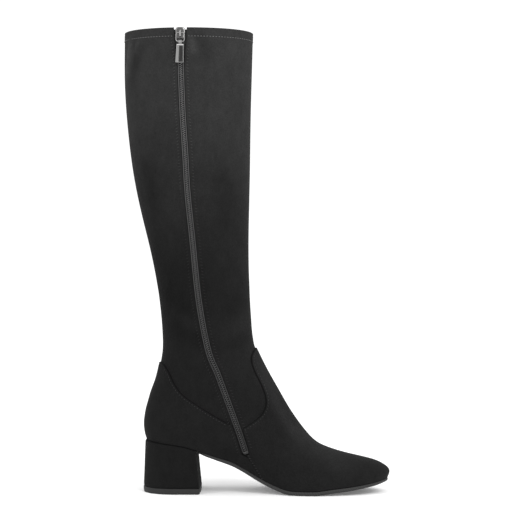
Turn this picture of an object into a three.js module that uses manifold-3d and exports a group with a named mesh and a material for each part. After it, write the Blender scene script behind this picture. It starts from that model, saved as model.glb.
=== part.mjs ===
import * as THREE from 'three';
import { mergeVertices } from 'three/addons/utils/BufferGeometryUtils.js';
import Module from 'manifold-3d';

const wasm = await Module();
wasm.setup();

// A left knee-high boot, in millimetres. X runs from the heel to the toe, Z is up,
// and the inner side of the foot, which has the zip, faces -Y.

// Foot and leg
const FOOT_LENGTH = 245;
const BALL_WIDTH = 78;
const INSTEP_RISE = 98.5;
const SHAFT_HEIGHT = 404.5;
const CALF_DEPTH = 128;
const CALF_WIDTH = 91;
const SHAFT_AXIS = 0.184 * FOOT_LENGTH;
const UPPER_WALL = 1.5;
const LASTING_MARGIN = 12;

// Sole and heel
const HEEL_HEIGHT = 49;
const TOE_SPRING = 10.8;
const SOLE_THICKNESS = 4.3;
const SOLE_EDGE = 2.3;
const SOLE_ROUND = 4.5;
const SOLE_ROUND_RISE = 1.6;
const HEEL_LENGTH = 57.5;
const HEEL_WIDTH = 57;
const HEEL_TUCK = 3;
const TUCK_START = HEEL_LENGTH - 1;
const TUCK_END = HEEL_LENGTH + 5;
const LIFT_THICKNESS = 5.6;
const LIFT_EDGE = 0.2;
const LIFT_BEVEL = 1.4;
const HEEL_LEDGE = 1.5;
const HEEL_BACK_ROUND = 0.55;
const HEEL_BREAST_ROUND = 0.07;
const INSOLE_THICKNESS = 2.5;

// Panels and clearance
const PANEL_THICKNESS = 1.3;
const GAP = 0.3;

// Zip
const CHAIN_WIDTH = 6.2;
const CHAIN_RECESS = 0.2;
const TAPE_WIDTH = 20;
const TAPE_THICKNESS = 0.8;
const ZIP_DROP = 0.8;
const SLOT_FLARE = 2.9;
const FLARE_LENGTH = 34;
const SLIDER_WIDTH = 9.6;
const SLIDER_LENGTH = 11;
const SLIDER_PLATE = 1.6;
const SLIDER_DROP = 5.7;
const SLIDER_PLAY = 0.5;
const NECK_WIDTH = 2.2;
const NECK_LENGTH = 3.4;
const BRIDGE_WIDTH = 2;
const BRIDGE_WALL = 1.1;
const BRIDGE_REACH = { low: 0.4, high: 0.3 };
const SHIELD = { foot: 0.38, shoulder: 0.12, head: 0.2 };
const RING_WIDTH = 9.2;
const RING_LENGTH = 9.6;
const RING_WIRE = 1.1;
const RING_CORNER = 2.6;
const TAB_LENGTH = 20.5;
const TAB_TOP_WIDTH = 6.8;
const TAB_WIDTH = 8.2;
const TAB_THICKNESS = 1.2;
const TAB_CORNER = 1;
const KNUCKLE_WIDTH = 3.4;
const KNUCKLE_WALL = 0.8;

// Mesh density: points along one side of a ring, steps along the zip and between two rows of
// an edge, and segments of a curve, of a barrel and of the link's corners
const SIDE_STEPS = 21;
const ZIP_STEPS = 26;
const EDGE_STEPS = 3;
const CURVE_SEGMENTS = 5;
const BARREL_SEGMENTS = 8;
const CORNER_SEGMENTS = 3;
const SAME_POINT = 1e-4;

// Underside of the sole: heel is a share of the heel height, toe of the toe spring,
// and thick of the sole's thickness. at is a share of the foot's length.
const SOLE_LINE = [
  { at: 0.0, heel: 1.0, toe: 0, thick: 0.65 },
  { at: 0.08, heel: 0.965, toe: 0, thick: 0.65 },
  { at: 0.16, heel: 0.91, toe: 0, thick: 0.65 },
  { at: 0.235, heel: 0.79, toe: 0, thick: 0.68 },
  { at: 0.3, heel: 0.667, toe: 0, thick: 0.82 },
  { at: 0.365, heel: 0.54, toe: 0, thick: 1.0 },
  { at: 0.41, heel: 0.415, toe: 0, thick: 1.0 },
  { at: 0.455, heel: 0.28, toe: 0, thick: 1.0 },
  { at: 0.5, heel: 0.163, toe: 0, thick: 1.0 },
  { at: 0.545, heel: 0.07, toe: 0, thick: 1.0 },
  { at: 0.58, heel: 0.015, toe: 0, thick: 1.0 },
  { at: 0.61, heel: 0, toe: 0, thick: 1.0 },
  { at: 0.69, heel: 0, toe: 0, thick: 1.0 },
  { at: 0.75, heel: 0, toe: 0.17, thick: 1.0 },
  { at: 0.81, heel: 0, toe: 0.33, thick: 0.97 },
  { at: 0.87, heel: 0, toe: 0.52, thick: 0.9 },
  { at: 0.93, heel: 0, toe: 0.74, thick: 0.83 },
  { at: 1.0, heel: 0, toe: 1.0, thick: 0.75 },
];

// Heights above the floor that several pieces share
const FEATHER_BACK = HEEL_HEIGHT + SOLE_LINE[0].thick * SOLE_THICKNESS;
const INSTEP_HEIGHT = FEATHER_BACK + INSTEP_RISE;
const COLLAR_HEIGHT = FEATHER_BACK + SHAFT_HEIGHT;

// Side-to-side curve of the foot's middle line, as shares of the ball width
const SWING = [
  { at: 0.15, side: 0 },
  { at: 0.41, side: 0.035 },
  { at: 0.68, side: 0.028 },
  { at: 1.0, side: -0.062 },
];
const HEEL_STATION = 0.143 * FOOT_LENGTH;
const WAIST_STATION = 0.408 * FOOT_LENGTH;
const BALL_STATION = 0.673 * FOOT_LENGTH;

// Rings of the foot, from the feather line to the bend of the instep. back and front are
// shares of the foot's length, rise and crest of the height at the heel and at the toe,
// heel, waist and ball half-widths as shares of half the ball width, trail and lead how far
// the round ends reach, and follow how much a ring keeps of the sole's curve.
const FOOT_COLUMNS = ['back', 'rise', 'front', 'crest', 'heel', 'waist', 'ball', 'trail', 'lead', 'follow'];
const FOOT_RINGS = [
  [0.019, 0, 0.984, 0, 0.72, 0.6, 1.0, 0.135, 0.32, 1],
  [0.0135, 0.038, 0.993, 0.038, 0.745, 0.67, 1.015, 0.137, 0.32, 0.97],
  [0.01, 0.073, 0.9885, 0.067, 0.76, 0.73, 1.015, 0.14, 0.32, 0.93],
  [0.0075, 0.114, 0.96, 0.101, 0.77, 0.78, 1.0, 0.143, 0.32, 0.88],
  [0.0065, 0.154, 0.92, 0.126, 0.775, 0.82, 0.985, 0.15, 0.33, 0.82],
  [0.007, 0.195, 0.86, 0.15, 0.777, 0.848, 0.972, 0.16, 0.345, 0.75],
  [0.009, 0.236, 0.798, 0.177, 0.777, 0.87, 0.96, 0.175, 0.36, 0.68],
  [0.0115, 0.276, 0.736, 0.215, 0.774, 0.886, 0.948, 0.19, 0.385, 0.6],
  [0.016, 0.327, 0.694, 0.258, 0.77, 0.895, 0.935, 0.2, 0.4, 0.52],
  [0.023, 0.388, 0.65, 0.341, 0.77, 0.895, 0.91, 0.225, 0.42, 0.42],
  [0.035, 0.489, 0.592, 0.486, 0.775, 0.885, 0.885, 0.28, 0.44, 0.28],
  [0.0515, 0.601, 0.545, 0.632, 0.79, 0.867, 0.867, 0.34, 0.46, 0.16],
  [0.065, 0.733, 0.5, 0.776, 0.81, 0.853, 0.853, 0.41, 0.48, 0.08],
  [0.075, 0.865, 0.46, 0.921, 0.83, 0.848, 0.848, 0.46, 0.49, 0.03],
  [0.0775, 1, 0.447, 1, 0.846, 0.846, 0.846, 0.5, 0.5, 0],
].map((row) => Object.fromEntries(FOOT_COLUMNS.map((name, i) => [name, row[i]])));

// Rings of the shaft above it: height is a share of the way from the instep to the collar,
// back and front are measured from the shaft's axis as shares of the calf's depth.
const SHAFT_RINGS = [
  { height: 0.064, back: -0.213, front: 0.485, half: 0.715 },
  { height: 0.13, back: -0.23, front: 0.477, half: 0.71 },
  { height: 0.211, back: -0.261, front: 0.468, half: 0.721 },
  { height: 0.309, back: -0.31, front: 0.465, half: 0.767 },
  { height: 0.424, back: -0.377, front: 0.469, half: 0.842 },
  { height: 0.555, back: -0.439, front: 0.475, half: 0.927 },
  { height: 0.702, back: -0.48, front: 0.481, half: 0.98 },
  { height: 0.849, back: -0.501, front: 0.489, half: 0.993 },
  { height: 1, back: -0.5, front: 0.5, half: 1 },
];
const TOE_ROUNDNESS = 1.85;
const SHAFT_ROUNDNESS = 2.1;

// Edges of the two panels as the side shows them: x is a share of the foot's length,
// z of the instep's height
const QUARTER_EDGE = [
  { x: 0.0, z: 0.865 },
  { x: 0.076, z: 0.857 },
  { x: 0.108, z: 0.803 },
  { x: 0.133, z: 0.722 },
  { x: 0.166, z: 0.655 },
  { x: 0.221, z: 0.591 },
  { x: 0.284, z: 0.527 },
  { x: 0.343, z: 0.474 },
];
const VAMP_EDGE = [
  { x: 0.403, z: 0.437 },
  { x: 0.462, z: 0.501 },
  { x: 0.49, z: 0.562 },
  { x: 0.493, z: 0.628 },
  { x: 0.476, z: 0.708 },
  { x: 0.447, z: 0.804 },
  { x: 0.434, z: 0.88 },
  { x: 0.443, z: 0.93 },
  { x: 0.46, z: 0.96 },
];
const SIDE_SEAM = [
  { x: 0.416, z: 0.285 },
  { x: 0.482, z: 0.1 },
];

// Middle of the zip, up from its lower end: on the foot as the panels' edges are given,
// and on the shaft by height, with x as the share of the way from the back to the front
const ZIP_ON_FOOT = [
  { x: 0.414, z: 0.287 },
  { x: 0.387, z: 0.421 },
  { x: 0.349, z: 0.59 },
  { x: 0.305, z: 0.785 },
  { x: 0.266, z: 0.947 },
];
const ZIP_ON_SHAFT = [
  { height: 0.135, across: 0.445 },
  { height: 0.335, across: 0.455 },
  { height: 0.475, across: 0.463 },
  { height: 0.605, across: 0.472 },
  { height: 0.74, across: 0.466 },
  { height: 0.897, across: 0.456 },
  { height: 1.02, across: 0.449 },
];

// Smooth value of a table's column, with the slope held flat where the table turns
function column(table, position, key, name) {
  const last = table.length - 1;
  if (position <= table[0][key]) return table[0][name];
  if (position >= table[last][key]) return table[last][name];
  let i = 0;
  while (position > table[i + 1][key]) i += 1;
  const slope = (a, b) => (table[b][name] - table[a][name]) / (table[b][key] - table[a][key]);
  const tangent = (k) => {
    if (k === 0 || k === last) return 0;
    const before = slope(k - 1, k);
    const after = slope(k, k + 1);
    return before * after <= 0 ? 0 : 2 * before * after / (before + after);
  };
  const span = table[i + 1][key] - table[i][key];
  const t = (position - table[i][key]) / span;
  const start = (1 + 2 * t) * (1 - t) ** 2 * table[i][name] + t * (1 - t) ** 2 * span * tangent(i);
  const end = t * t * (3 - 2 * t) * table[i + 1][name] + t * t * (t - 1) * span * tangent(i + 1);
  return start + end;
}

const lerp = THREE.MathUtils.lerp;
const smooth = THREE.MathUtils.smoothstep;
const soleUnder = (x) => {
  const at = x / FOOT_LENGTH;
  const heel = HEEL_HEIGHT * column(SOLE_LINE, at, 'at', 'heel');
  return heel + TOE_SPRING * column(SOLE_LINE, at, 'at', 'toe');
};
const feather = (x) => soleUnder(x) + SOLE_THICKNESS * column(SOLE_LINE, x / FOOT_LENGTH, 'at', 'thick');
const swing = (x) => BALL_WIDTH * column(SWING, x / FOOT_LENGTH, 'at', 'side');

// A level of the upper with its sizes in millimetres
function footLevel(row) {
  const toe = feather(FOOT_RINGS[0].front * FOOT_LENGTH);
  return {
    back: row.back * FOOT_LENGTH,
    front: row.front * FOOT_LENGTH,
    backZ: FEATHER_BACK + row.rise * INSTEP_RISE,
    frontZ: lerp(toe, INSTEP_HEIGHT, row.crest),
    heel: row.heel * BALL_WIDTH / 2,
    waist: row.waist * BALL_WIDTH / 2,
    ball: row.ball * BALL_WIDTH / 2,
    trail: row.trail,
    lead: row.lead,
    follow: row.follow,
  };
}

function shaftLevel(row) {
  const z = lerp(INSTEP_HEIGHT, COLLAR_HEIGHT, row.height);
  const half = row.half * CALF_WIDTH / 2;
  return {
    back: SHAFT_AXIS + row.back * CALF_DEPTH,
    front: SHAFT_AXIS + row.front * CALF_DEPTH,
    backZ: z,
    frontZ: z,
    heel: half,
    waist: half,
    ball: half,
    trail: 0.5,
    lead: 0.5,
    follow: 0,
  };
}

const LEVELS = [...FOOT_RINGS.map(footLevel), ...SHAFT_RINGS.map(shaftLevel)];
const FEATHER_LEVEL = LEVELS[0];

// Half-width of a level at a share of the way from its back to its front
function halfWidth(level, across) {
  const x = lerp(level.back, level.front, across);
  const behind = lerp(level.heel, level.waist, smooth(x, HEEL_STATION, WAIST_STATION));
  const girth = lerp(behind, level.ball, smooth(x, WAIST_STATION, BALL_STATION));
  const roundness = lerp(SHAFT_ROUNDNESS, TOE_ROUNDNESS, level.follow);
  const ending = (reach, power) => (1 - (1 - Math.min(1, reach)) ** power) ** (1 / power);
  const rear = ending(across / level.trail, SHAFT_ROUNDNESS);
  return girth * rear * ending((1 - across) / level.lead, roundness);
}

// Height of a level: straight from back to front, plus what it keeps of the sole's curve
function levelHeight(level, across) {
  const x = lerp(FEATHER_LEVEL.back, FEATHER_LEVEL.front, across);
  const chord = lerp(FEATHER_LEVEL.backZ, FEATHER_LEVEL.frontZ, across);
  return lerp(level.backZ, level.frontZ, across) + level.follow * (feather(x) - chord);
}

// Points around a level: along the inner side to the front, and back along the outer side
function ring(level, height = levelHeight, middle = (x) => level.follow * swing(x)) {
  const points = [];
  for (let j = 0; j < 2 * SIDE_STEPS; j += 1) {
    const side = j <= SIDE_STEPS ? -1 : 1;
    const across = (1 - Math.cos(Math.PI * j / SIDE_STEPS)) / 2;
    const x = lerp(level.back, level.front, across);
    const y = middle(x) + side * halfWidth(level, across);
    points.push(new THREE.Vector3(x, y, height(level, across, x)));
  }
  return points;
}

// Solid between rings of equal count, closed across its lowest and highest ring
function loft(rings) {
  const count = 2 * SIDE_STEPS;
  const positions = rings.flat().flatMap((p) => [p.x, p.y, p.z]);
  const index = [];
  for (let i = 0; i < rings.length - 1; i += 1) {
    for (let j = 0; j < count; j += 1) {
      const a = i * count + j;
      const b = i * count + (j + 1) % count;
      index.push(a, b, b + count, a, b + count, a + count);
    }
  }
  const top = (rings.length - 1) * count;
  for (let j = 0; j < SIDE_STEPS; j += 1) {
    const inner = [j, j + 1];
    const outer = [(count - j) % count, count - j - 1];
    const quads = [[inner[0], outer[1], inner[1]], [inner[0], outer[0], outer[1]]];
    for (const [a, b, c] of quads) {
      if (new Set([a, b, c]).size < 3) continue;
      index.push(a, b, c);
      index.push(top + a, top + c, top + b);
    }
  }
  const geometry = new THREE.BufferGeometry();
  geometry.setAttribute('position', new THREE.Float32BufferAttribute(positions, 3));
  geometry.setIndex(index);
  return solid(geometry);
}

function solid(geometry) {
  geometry.deleteAttribute('normal');
  geometry.deleteAttribute('uv');
  const merged = mergeVertices(geometry, SAME_POINT);
  const index = merged.index.array;
  const triVerts = [];
  for (let i = 0; i < index.length; i += 3) {
    const [a, b, c] = [index[i], index[i + 1], index[i + 2]];
    if (a !== b && b !== c && c !== a) triVerts.push(a, b, c);
  }
  return new wasm.Manifold(new wasm.Mesh({
    numProp: 3,
    vertProperties: new Float32Array(merged.attributes.position.array),
    triVerts: new Uint32Array(triVerts),
  }));
}

function geometryOf(manifold) {
  const mesh = manifold.getMesh();
  const geometry = new THREE.BufferGeometry();
  geometry.setAttribute('position', new THREE.BufferAttribute(new Float32Array(mesh.vertProperties), 3));
  geometry.setIndex(new THREE.BufferAttribute(new Uint32Array(mesh.triVerts), 1));
  geometry.computeVertexNormals();
  return geometry;
}

// The boot's own form, moved out along its surface. over makes it longer at both ends,
// and floor lifts its underside.
const RINGS = LEVELS.map((level) => ring(level));
const NORMALS = RINGS.map((points, i) => points.map((point, j) => {
  const count = points.length;
  const below = RINGS[Math.max(0, i - 1)][j];
  const above = RINGS[Math.min(RINGS.length - 1, i + 1)][j];
  const along = points[(j + 1) % count].clone().sub(points[(j + count - 1) % count]);
  const normal = along.cross(above.clone().sub(below));
  if (i === 0 || i === RINGS.length - 1) normal.z = 0;
  return normal.normalize();
}));

function form(offset, { over = 0, floor = 0 } = {}) {
  const rings = RINGS.map((points, i) => points.map((point, j) => {
    const moved = point.clone().addScaledVector(NORMALS[i][j], offset);
    if (i === 0) moved.z = feather(moved.x) + floor - over;
    if (i === RINGS.length - 1) moved.z += over;
    return moved;
  }));
  return loft(rings);
}

const OVER = 3;
const skin = (inner, outer) => form(outer).subtract(form(inner, { over: OVER }));

// A ring along the feather line, moved out by grow, at a height given along the foot
function footRing(grow, height) {
  return RINGS[0].map((point, j) => {
    const moved = point.clone().addScaledVector(NORMALS[0][j], grow(point.x));
    moved.z = height(moved.x);
    return moved;
  });
}

function plate(grow, bottom, top) {
  return loft([footRing(grow, bottom), footRing(grow, top)]);
}

// Opening under the foot, inside the margin that is turned in and lasted
function lastingHole() {
  const level = {
    ...FEATHER_LEVEL,
    back: FEATHER_LEVEL.back + LASTING_MARGIN,
    front: FEATHER_LEVEL.front - LASTING_MARGIN,
    heel: FEATHER_LEVEL.heel - LASTING_MARGIN,
    waist: FEATHER_LEVEL.waist - LASTING_MARGIN,
    ball: FEATHER_LEVEL.ball - LASTING_MARGIN,
  };
  const low = ring(level, (row, across, x) => feather(x) - OVER, swing);
  const high = ring(level, (row, across, x) => feather(x) + OVER, swing);
  return loft([low, high]);
}

// Prism through the boot's inner or both sides, from an outline in X and Z
const REACH = BALL_WIDTH + CALF_WIDTH;
function sidePrism(outline, nearSideOnly = false) {
  const geometry = new THREE.ExtrudeGeometry(new THREE.Shape(outline), {
    depth: nearSideOnly ? REACH : 2 * REACH,
    bevelEnabled: false,
  });
  geometry.rotateX(Math.PI / 2);
  if (!nearSideOnly) geometry.translate(0, REACH, 0);
  return solid(geometry);
}

const onFoot = (row) => new THREE.Vector2(row.x * FOOT_LENGTH, row.z * INSTEP_HEIGHT);

function shaftSpot({ height, across }) {
  const back = column([FOOT_AS_SHAFT, ...SHAFT_RINGS], height, 'height', 'back');
  const front = column([FOOT_AS_SHAFT, ...SHAFT_RINGS], height, 'height', 'front');
  const x = SHAFT_AXIS + CALF_DEPTH * lerp(back, front, across);
  return new THREE.Vector2(x, lerp(INSTEP_HEIGHT, COLLAR_HEIGHT, height));
}
const INSTEP_LEVEL = LEVELS[FOOT_RINGS.length - 1];
const FOOT_AS_SHAFT = {
  height: 0,
  back: (INSTEP_LEVEL.back - SHAFT_AXIS) / CALF_DEPTH,
  front: (INSTEP_LEVEL.front - SHAFT_AXIS) / CALF_DEPTH,
};
const ZIP_PATH = new THREE.SplineCurve([...ZIP_ON_FOOT.map(onFoot), ...ZIP_ON_SHAFT.map(shaftSpot)]);

// Outline of a band along the zip, up to a height. grow makes it wider, and longer at its
// lower end, and flare widens it towards the collar.
function zipBand(width, { grow = 0, flare = 0, highest = Infinity } = {}) {
  const near = [];
  const far = [];
  for (let i = 0; i <= ZIP_STEPS; i += 1) {
    const tangent = ZIP_PATH.getTangent(i / ZIP_STEPS);
    const point = ZIP_PATH.getPoint(i / ZIP_STEPS);
    if (i === 0) point.addScaledVector(tangent, -grow);
    if (point.y > highest) break;
    const open = flare * smooth(point.y, COLLAR_HEIGHT - FLARE_LENGTH, COLLAR_HEIGHT);
    const across = new THREE.Vector2(tangent.y, -tangent.x).multiplyScalar(width / 2 + grow + open);
    near.push(point.clone().add(across));
    far.unshift(point.clone().sub(across));
  }
  return [...near, ...far];
}

// Upper: the form less its cavity, less the hole inside the lasting margin
function upper() {
  const cavity = form(-UPPER_WALL, { floor: UPPER_WALL + OVER, over: OVER });
  const slot = sidePrism(zipBand(CHAIN_WIDTH, { grow: GAP, flare: SLOT_FLARE }), true);
  return form(0).subtract(cavity).subtract(lastingHole()).subtract(slot);
}

// The panels lie on the upper and meet along the side seam and the zip
const PANEL_SKIN = skin(GAP, GAP + PANEL_THICKNESS);
const PANEL_SLOT = sidePrism(zipBand(CHAIN_WIDTH, { grow: GAP }), true);
const SEAM = SIDE_SEAM.map(onFoot);
const edgeCurve = (table) => new THREE.SplineCurve(table.map(onFoot)).getPoints(EDGE_STEPS * table.length);
const zipBetween = (low, high) => {
  const points = [];
  for (let i = 0; i <= ZIP_STEPS; i += 1) {
    const point = ZIP_PATH.getPoint(i / ZIP_STEPS);
    if (point.y > low && point.y < high) points.push(point);
  }
  return points;
};
const shifted = (points, dx) => points.map((p) => new THREE.Vector2(p.x + dx, p.y));
const BELOW = -OVER;

function vamp() {
  const edge = edgeCurve(VAMP_EDGE);
  const side = shifted(SEAM, GAP / 2).reverse();
  const inner = shifted(zipBetween(SEAM[0].y + OVER, edge[0].y - OVER), GAP / 2);
  const outline = [
    new THREE.Vector2(side[0].x, BELOW),
    ...side,
    ...inner,
    ...edge,
    new THREE.Vector2(INSTEP_LEVEL.front + REACH, INSTEP_HEIGHT),
    new THREE.Vector2(FOOT_LENGTH + REACH, BELOW),
  ];
  return PANEL_SKIN.intersect(sidePrism(outline)).subtract(PANEL_SLOT);
}

function quarter() {
  const edge = edgeCurve(QUARTER_EDGE);
  const last = edge[edge.length - 1];
  const side = shifted(SEAM, -GAP / 2).reverse();
  const inner = shifted(zipBetween(SEAM[0].y + OVER, last.y - OVER), -GAP / 2);
  const outline = [
    new THREE.Vector2(side[0].x, BELOW),
    ...side,
    ...inner,
    ...edge.reverse(),
    new THREE.Vector2(-REACH, edge[0].y),
    new THREE.Vector2(-REACH, BELOW),
  ];
  return PANEL_SKIN.intersect(sidePrism(outline)).subtract(PANEL_SLOT);
}

// Outsole: level with the panels' edge in front of the heel, and tucked inside its rim
const tuck = (x) => lerp(-HEEL_TUCK, SOLE_EDGE, smooth(x, TUCK_START, TUCK_END));
function outsole(grow = 0) {
  const edge = (x) => tuck(x) + grow;
  const inside = (x) => edge(x) - SOLE_ROUND;
  const shoulder = (x) => edge(x) - SOLE_ROUND / 4;
  return loft([
    footRing(inside, (x) => soleUnder(x) - grow),
    footRing(shoulder, (x) => soleUnder(x) + SOLE_ROUND_RISE / 2 - grow),
    footRing(edge, (x) => soleUnder(x) + SOLE_ROUND_RISE - grow),
    footRing(edge, (x) => feather(x) - GAP + grow * OVER / GAP),
  ]);
}

function insole() {
  const low = (x) => feather(x) + UPPER_WALL + GAP;
  const high = (x) => low(x) + INSOLE_THICKNESS;
  const inside = form(-UPPER_WALL - GAP, { floor: UPPER_WALL });
  return inside.intersect(plate(() => OVER, low, high));
}

// Heel: a D-shaped block with a straight breast, in a shallow cup around the sole's seat
function heelRing(grow, front, half, height) {
  const level = {
    ...FEATHER_LEVEL,
    back: -grow,
    front: front + grow,
    heel: half + grow,
    waist: half + grow,
    trail: HEEL_BACK_ROUND,
    lead: HEEL_BREAST_ROUND,
  };
  return ring(level, (row, across, x) => height(x), () => 0);
}

// Height of the upper's lower edge, straight from one ring point to the next
function seatLine(x) {
  const side = RINGS[0].slice(0, SIDE_STEPS + 1);
  const next = Math.max(1, side.findIndex((point) => point.x > x));
  const [a, b] = [side[next - 1], side[next]];
  return lerp(a.z, b.z, THREE.MathUtils.clamp((x - a.x) / (b.x - a.x), 0, 1));
}

const LIFT_TOP = LIFT_THICKNESS + GAP;
const PANEL_OUT = GAP + PANEL_THICKNESS;
function heelBlock() {
  const seatHalf = FEATHER_LEVEL.heel + PANEL_OUT;
  const lean = FEATHER_LEVEL.back - PANEL_OUT - HEEL_LEDGE;
  const breast = HEEL_LENGTH - GAP;
  const middleHalf = (seatHalf + HEEL_WIDTH / 2 + lean) / 2;
  const seat = heelRing(-lean, breast, seatHalf + lean, (x) => seatLine(x) - GAP);
  const middle = heelRing(-lean / 2, breast, middleHalf, () => HEEL_HEIGHT / 2);
  const foot = heelRing(0, HEEL_LENGTH, HEEL_WIDTH / 2, () => LIFT_TOP);
  return loft([foot, middle, seat]).subtract(outsole(GAP));
}

function topLift() {
  const liftRing = (grow, z) => heelRing(grow, HEEL_LENGTH, HEEL_WIDTH / 2, () => z);
  return loft([
    liftRing(-LIFT_BEVEL, 0),
    liftRing(LIFT_EDGE, LIFT_BEVEL),
    liftRing(LIFT_EDGE, LIFT_THICKNESS),
  ]);
}

// Zip: chain in the slot, tape behind it, and a slider near the top of the slot
const NECK = {
  x: shaftSpot({ height: 1, across: column(ZIP_ON_SHAFT, 1, 'height', 'across') }).x,
  z: COLLAR_HEIGHT - SLIDER_DROP,
};
const COLLAR_LEVEL = LEVELS[LEVELS.length - 1];
const SLIDER_ACROSS = (NECK.x - COLLAR_LEVEL.back) / (COLLAR_LEVEL.front - COLLAR_LEVEL.back);
const SLIDER_FACE = -halfWidth(COLLAR_LEVEL, SLIDER_ACROSS);

function box(width, depth, height) {
  return solid(new THREE.BoxGeometry(width, depth, height));
}

function neckSpace() {
  const space = box(NECK_WIDTH + 2 * GAP, REACH, NECK_LENGTH + 2 * GAP + OVER);
  return space.translate([NECK.x, SLIDER_FACE, NECK.z + NECK_LENGTH / 2 + OVER / 2]);
}

function zipChain() {
  const strip = form(-CHAIN_RECESS).subtract(form(-UPPER_WALL, { over: OVER }));
  const band = sidePrism(zipBand(CHAIN_WIDTH, { highest: NECK.z + NECK_LENGTH }), true);
  return strip.intersect(band).subtract(neckSpace());
}

function zipTape() {
  const outside = -UPPER_WALL - GAP;
  const strip = form(outside).subtract(form(outside - TAPE_THICKNESS, { over: OVER }));
  const band = sidePrism(zipBand(TAPE_WIDTH, { highest: COLLAR_HEIGHT - ZIP_DROP }), true);
  return strip.intersect(band).subtract(neckSpace());
}

// The slider's own frame: X across the zip, Y into the boot, Z up, from the chain's face
const PLATE_OUT = GAP + SLIDER_PLATE;
const INSIDE = UPPER_WALL + 2 * GAP + TAPE_THICKNESS + SLIDER_PLAY;
const AXIS_OUT = PLATE_OUT + GAP + RING_WIRE / 2;
const BRIDGE_OUT = AXIS_OUT + RING_WIRE / 2 + GAP + BRIDGE_WALL;

function shield(width, length) {
  const foot = width * SHIELD.foot;
  const head = width * SHIELD.head;
  const shoulder = length * SHIELD.shoulder;
  const shape = new THREE.Shape();
  shape.moveTo(-foot, -length / 2);
  shape.lineTo(foot, -length / 2);
  shape.lineTo(width / 2, shoulder);
  shape.quadraticCurveTo(width / 2, length / 2, head, length / 2);
  shape.lineTo(-head, length / 2);
  shape.quadraticCurveTo(-width / 2, length / 2, -width / 2, shoulder);
  shape.closePath();
  return shape;
}

// Extrusion of a shape in X and Z, from depth y0 to depth y0 + thickness
function slab(shape, y0, thickness, curveSegments = CURVE_SEGMENTS) {
  const settings = { depth: thickness, bevelEnabled: false, curveSegments };
  const geometry = new THREE.ExtrudeGeometry(shape, settings);
  geometry.rotateX(Math.PI / 2);
  geometry.translate(0, y0 + thickness, 0);
  return solid(geometry);
}

function roundedRectangle(shape, width, low, high, radius) {
  const half = width / 2;
  shape.moveTo(-half + radius, low);
  shape.lineTo(half - radius, low);
  shape.absarc(half - radius, low + radius, radius, -Math.PI / 2, 0);
  shape.lineTo(half, high - radius);
  shape.absarc(half - radius, high - radius, radius, 0, Math.PI / 2);
  shape.lineTo(-half + radius, high);
  shape.absarc(-half + radius, high - radius, radius, Math.PI / 2, Math.PI);
  shape.lineTo(-half, low + radius);
  shape.absarc(-half + radius, low + radius, radius, Math.PI, 1.5 * Math.PI);
  return shape;
}

function zipSlider() {
  const outer = slab(shield(SLIDER_WIDTH, SLIDER_LENGTH), -PLATE_OUT, SLIDER_PLATE);
  const inner = slab(shield(SLIDER_WIDTH, SLIDER_LENGTH), INSIDE, SLIDER_PLATE);
  const neck = box(NECK_WIDTH, INSIDE + PLATE_OUT, NECK_LENGTH)
    .translate([0, (INSIDE - PLATE_OUT) / 2, NECK_LENGTH / 2]);
  const profile = new THREE.Shape();
  const low = -SLIDER_LENGTH * BRIDGE_REACH.low;
  const high = SLIDER_LENGTH * BRIDGE_REACH.high;
  profile.moveTo(low, SLIDER_PLATE / 2 + GAP);
  profile.lineTo(low, AXIS_OUT);
  profile.quadraticCurveTo(low, BRIDGE_OUT, low / 2, BRIDGE_OUT);
  profile.lineTo(high / 2, BRIDGE_OUT);
  profile.quadraticCurveTo(high, BRIDGE_OUT, high, AXIS_OUT);
  profile.lineTo(high, SLIDER_PLATE / 2 + GAP);
  profile.closePath();
  const eye = new THREE.Path();
  const inLow = low + BRIDGE_WALL;
  const inHigh = high - BRIDGE_WALL;
  eye.moveTo(inLow, PLATE_OUT - GAP);
  eye.lineTo(inHigh, PLATE_OUT - GAP);
  eye.lineTo(inHigh, BRIDGE_OUT - BRIDGE_WALL);
  eye.lineTo(inLow, BRIDGE_OUT - BRIDGE_WALL);
  eye.closePath();
  profile.holes.push(eye);
  const arch = new THREE.ExtrudeGeometry(profile, {
    depth: BRIDGE_WIDTH,
    bevelEnabled: false,
    curveSegments: CURVE_SEGMENTS,
  });
  arch.translate(0, 0, -BRIDGE_WIDTH / 2);
  arch.applyMatrix4(new THREE.Matrix4().set(0, 0, 1, 0, 0, -1, 0, 0, 1, 0, 0, 0, 0, 0, 0, 1));
  return solid(arch).add(outer).add(inner).add(neck);
}

// The link hangs in the bridge from its upper bar, and the tab from its lower bar
const LINK_REACH = RING_LENGTH - RING_WIRE;
function zipRing() {
  const half = RING_WIRE / 2;
  const bore = RING_WIDTH - 2 * RING_WIRE;
  const shape = roundedRectangle(new THREE.Shape(), RING_WIDTH, -LINK_REACH - half, half, RING_CORNER);
  const eye = roundedRectangle(new THREE.Path(), bore, -LINK_REACH + half, -half, RING_CORNER - RING_WIRE);
  shape.holes.push(eye);
  return slab(shape, -half, RING_WIRE, CORNER_SEGMENTS);
}

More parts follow.
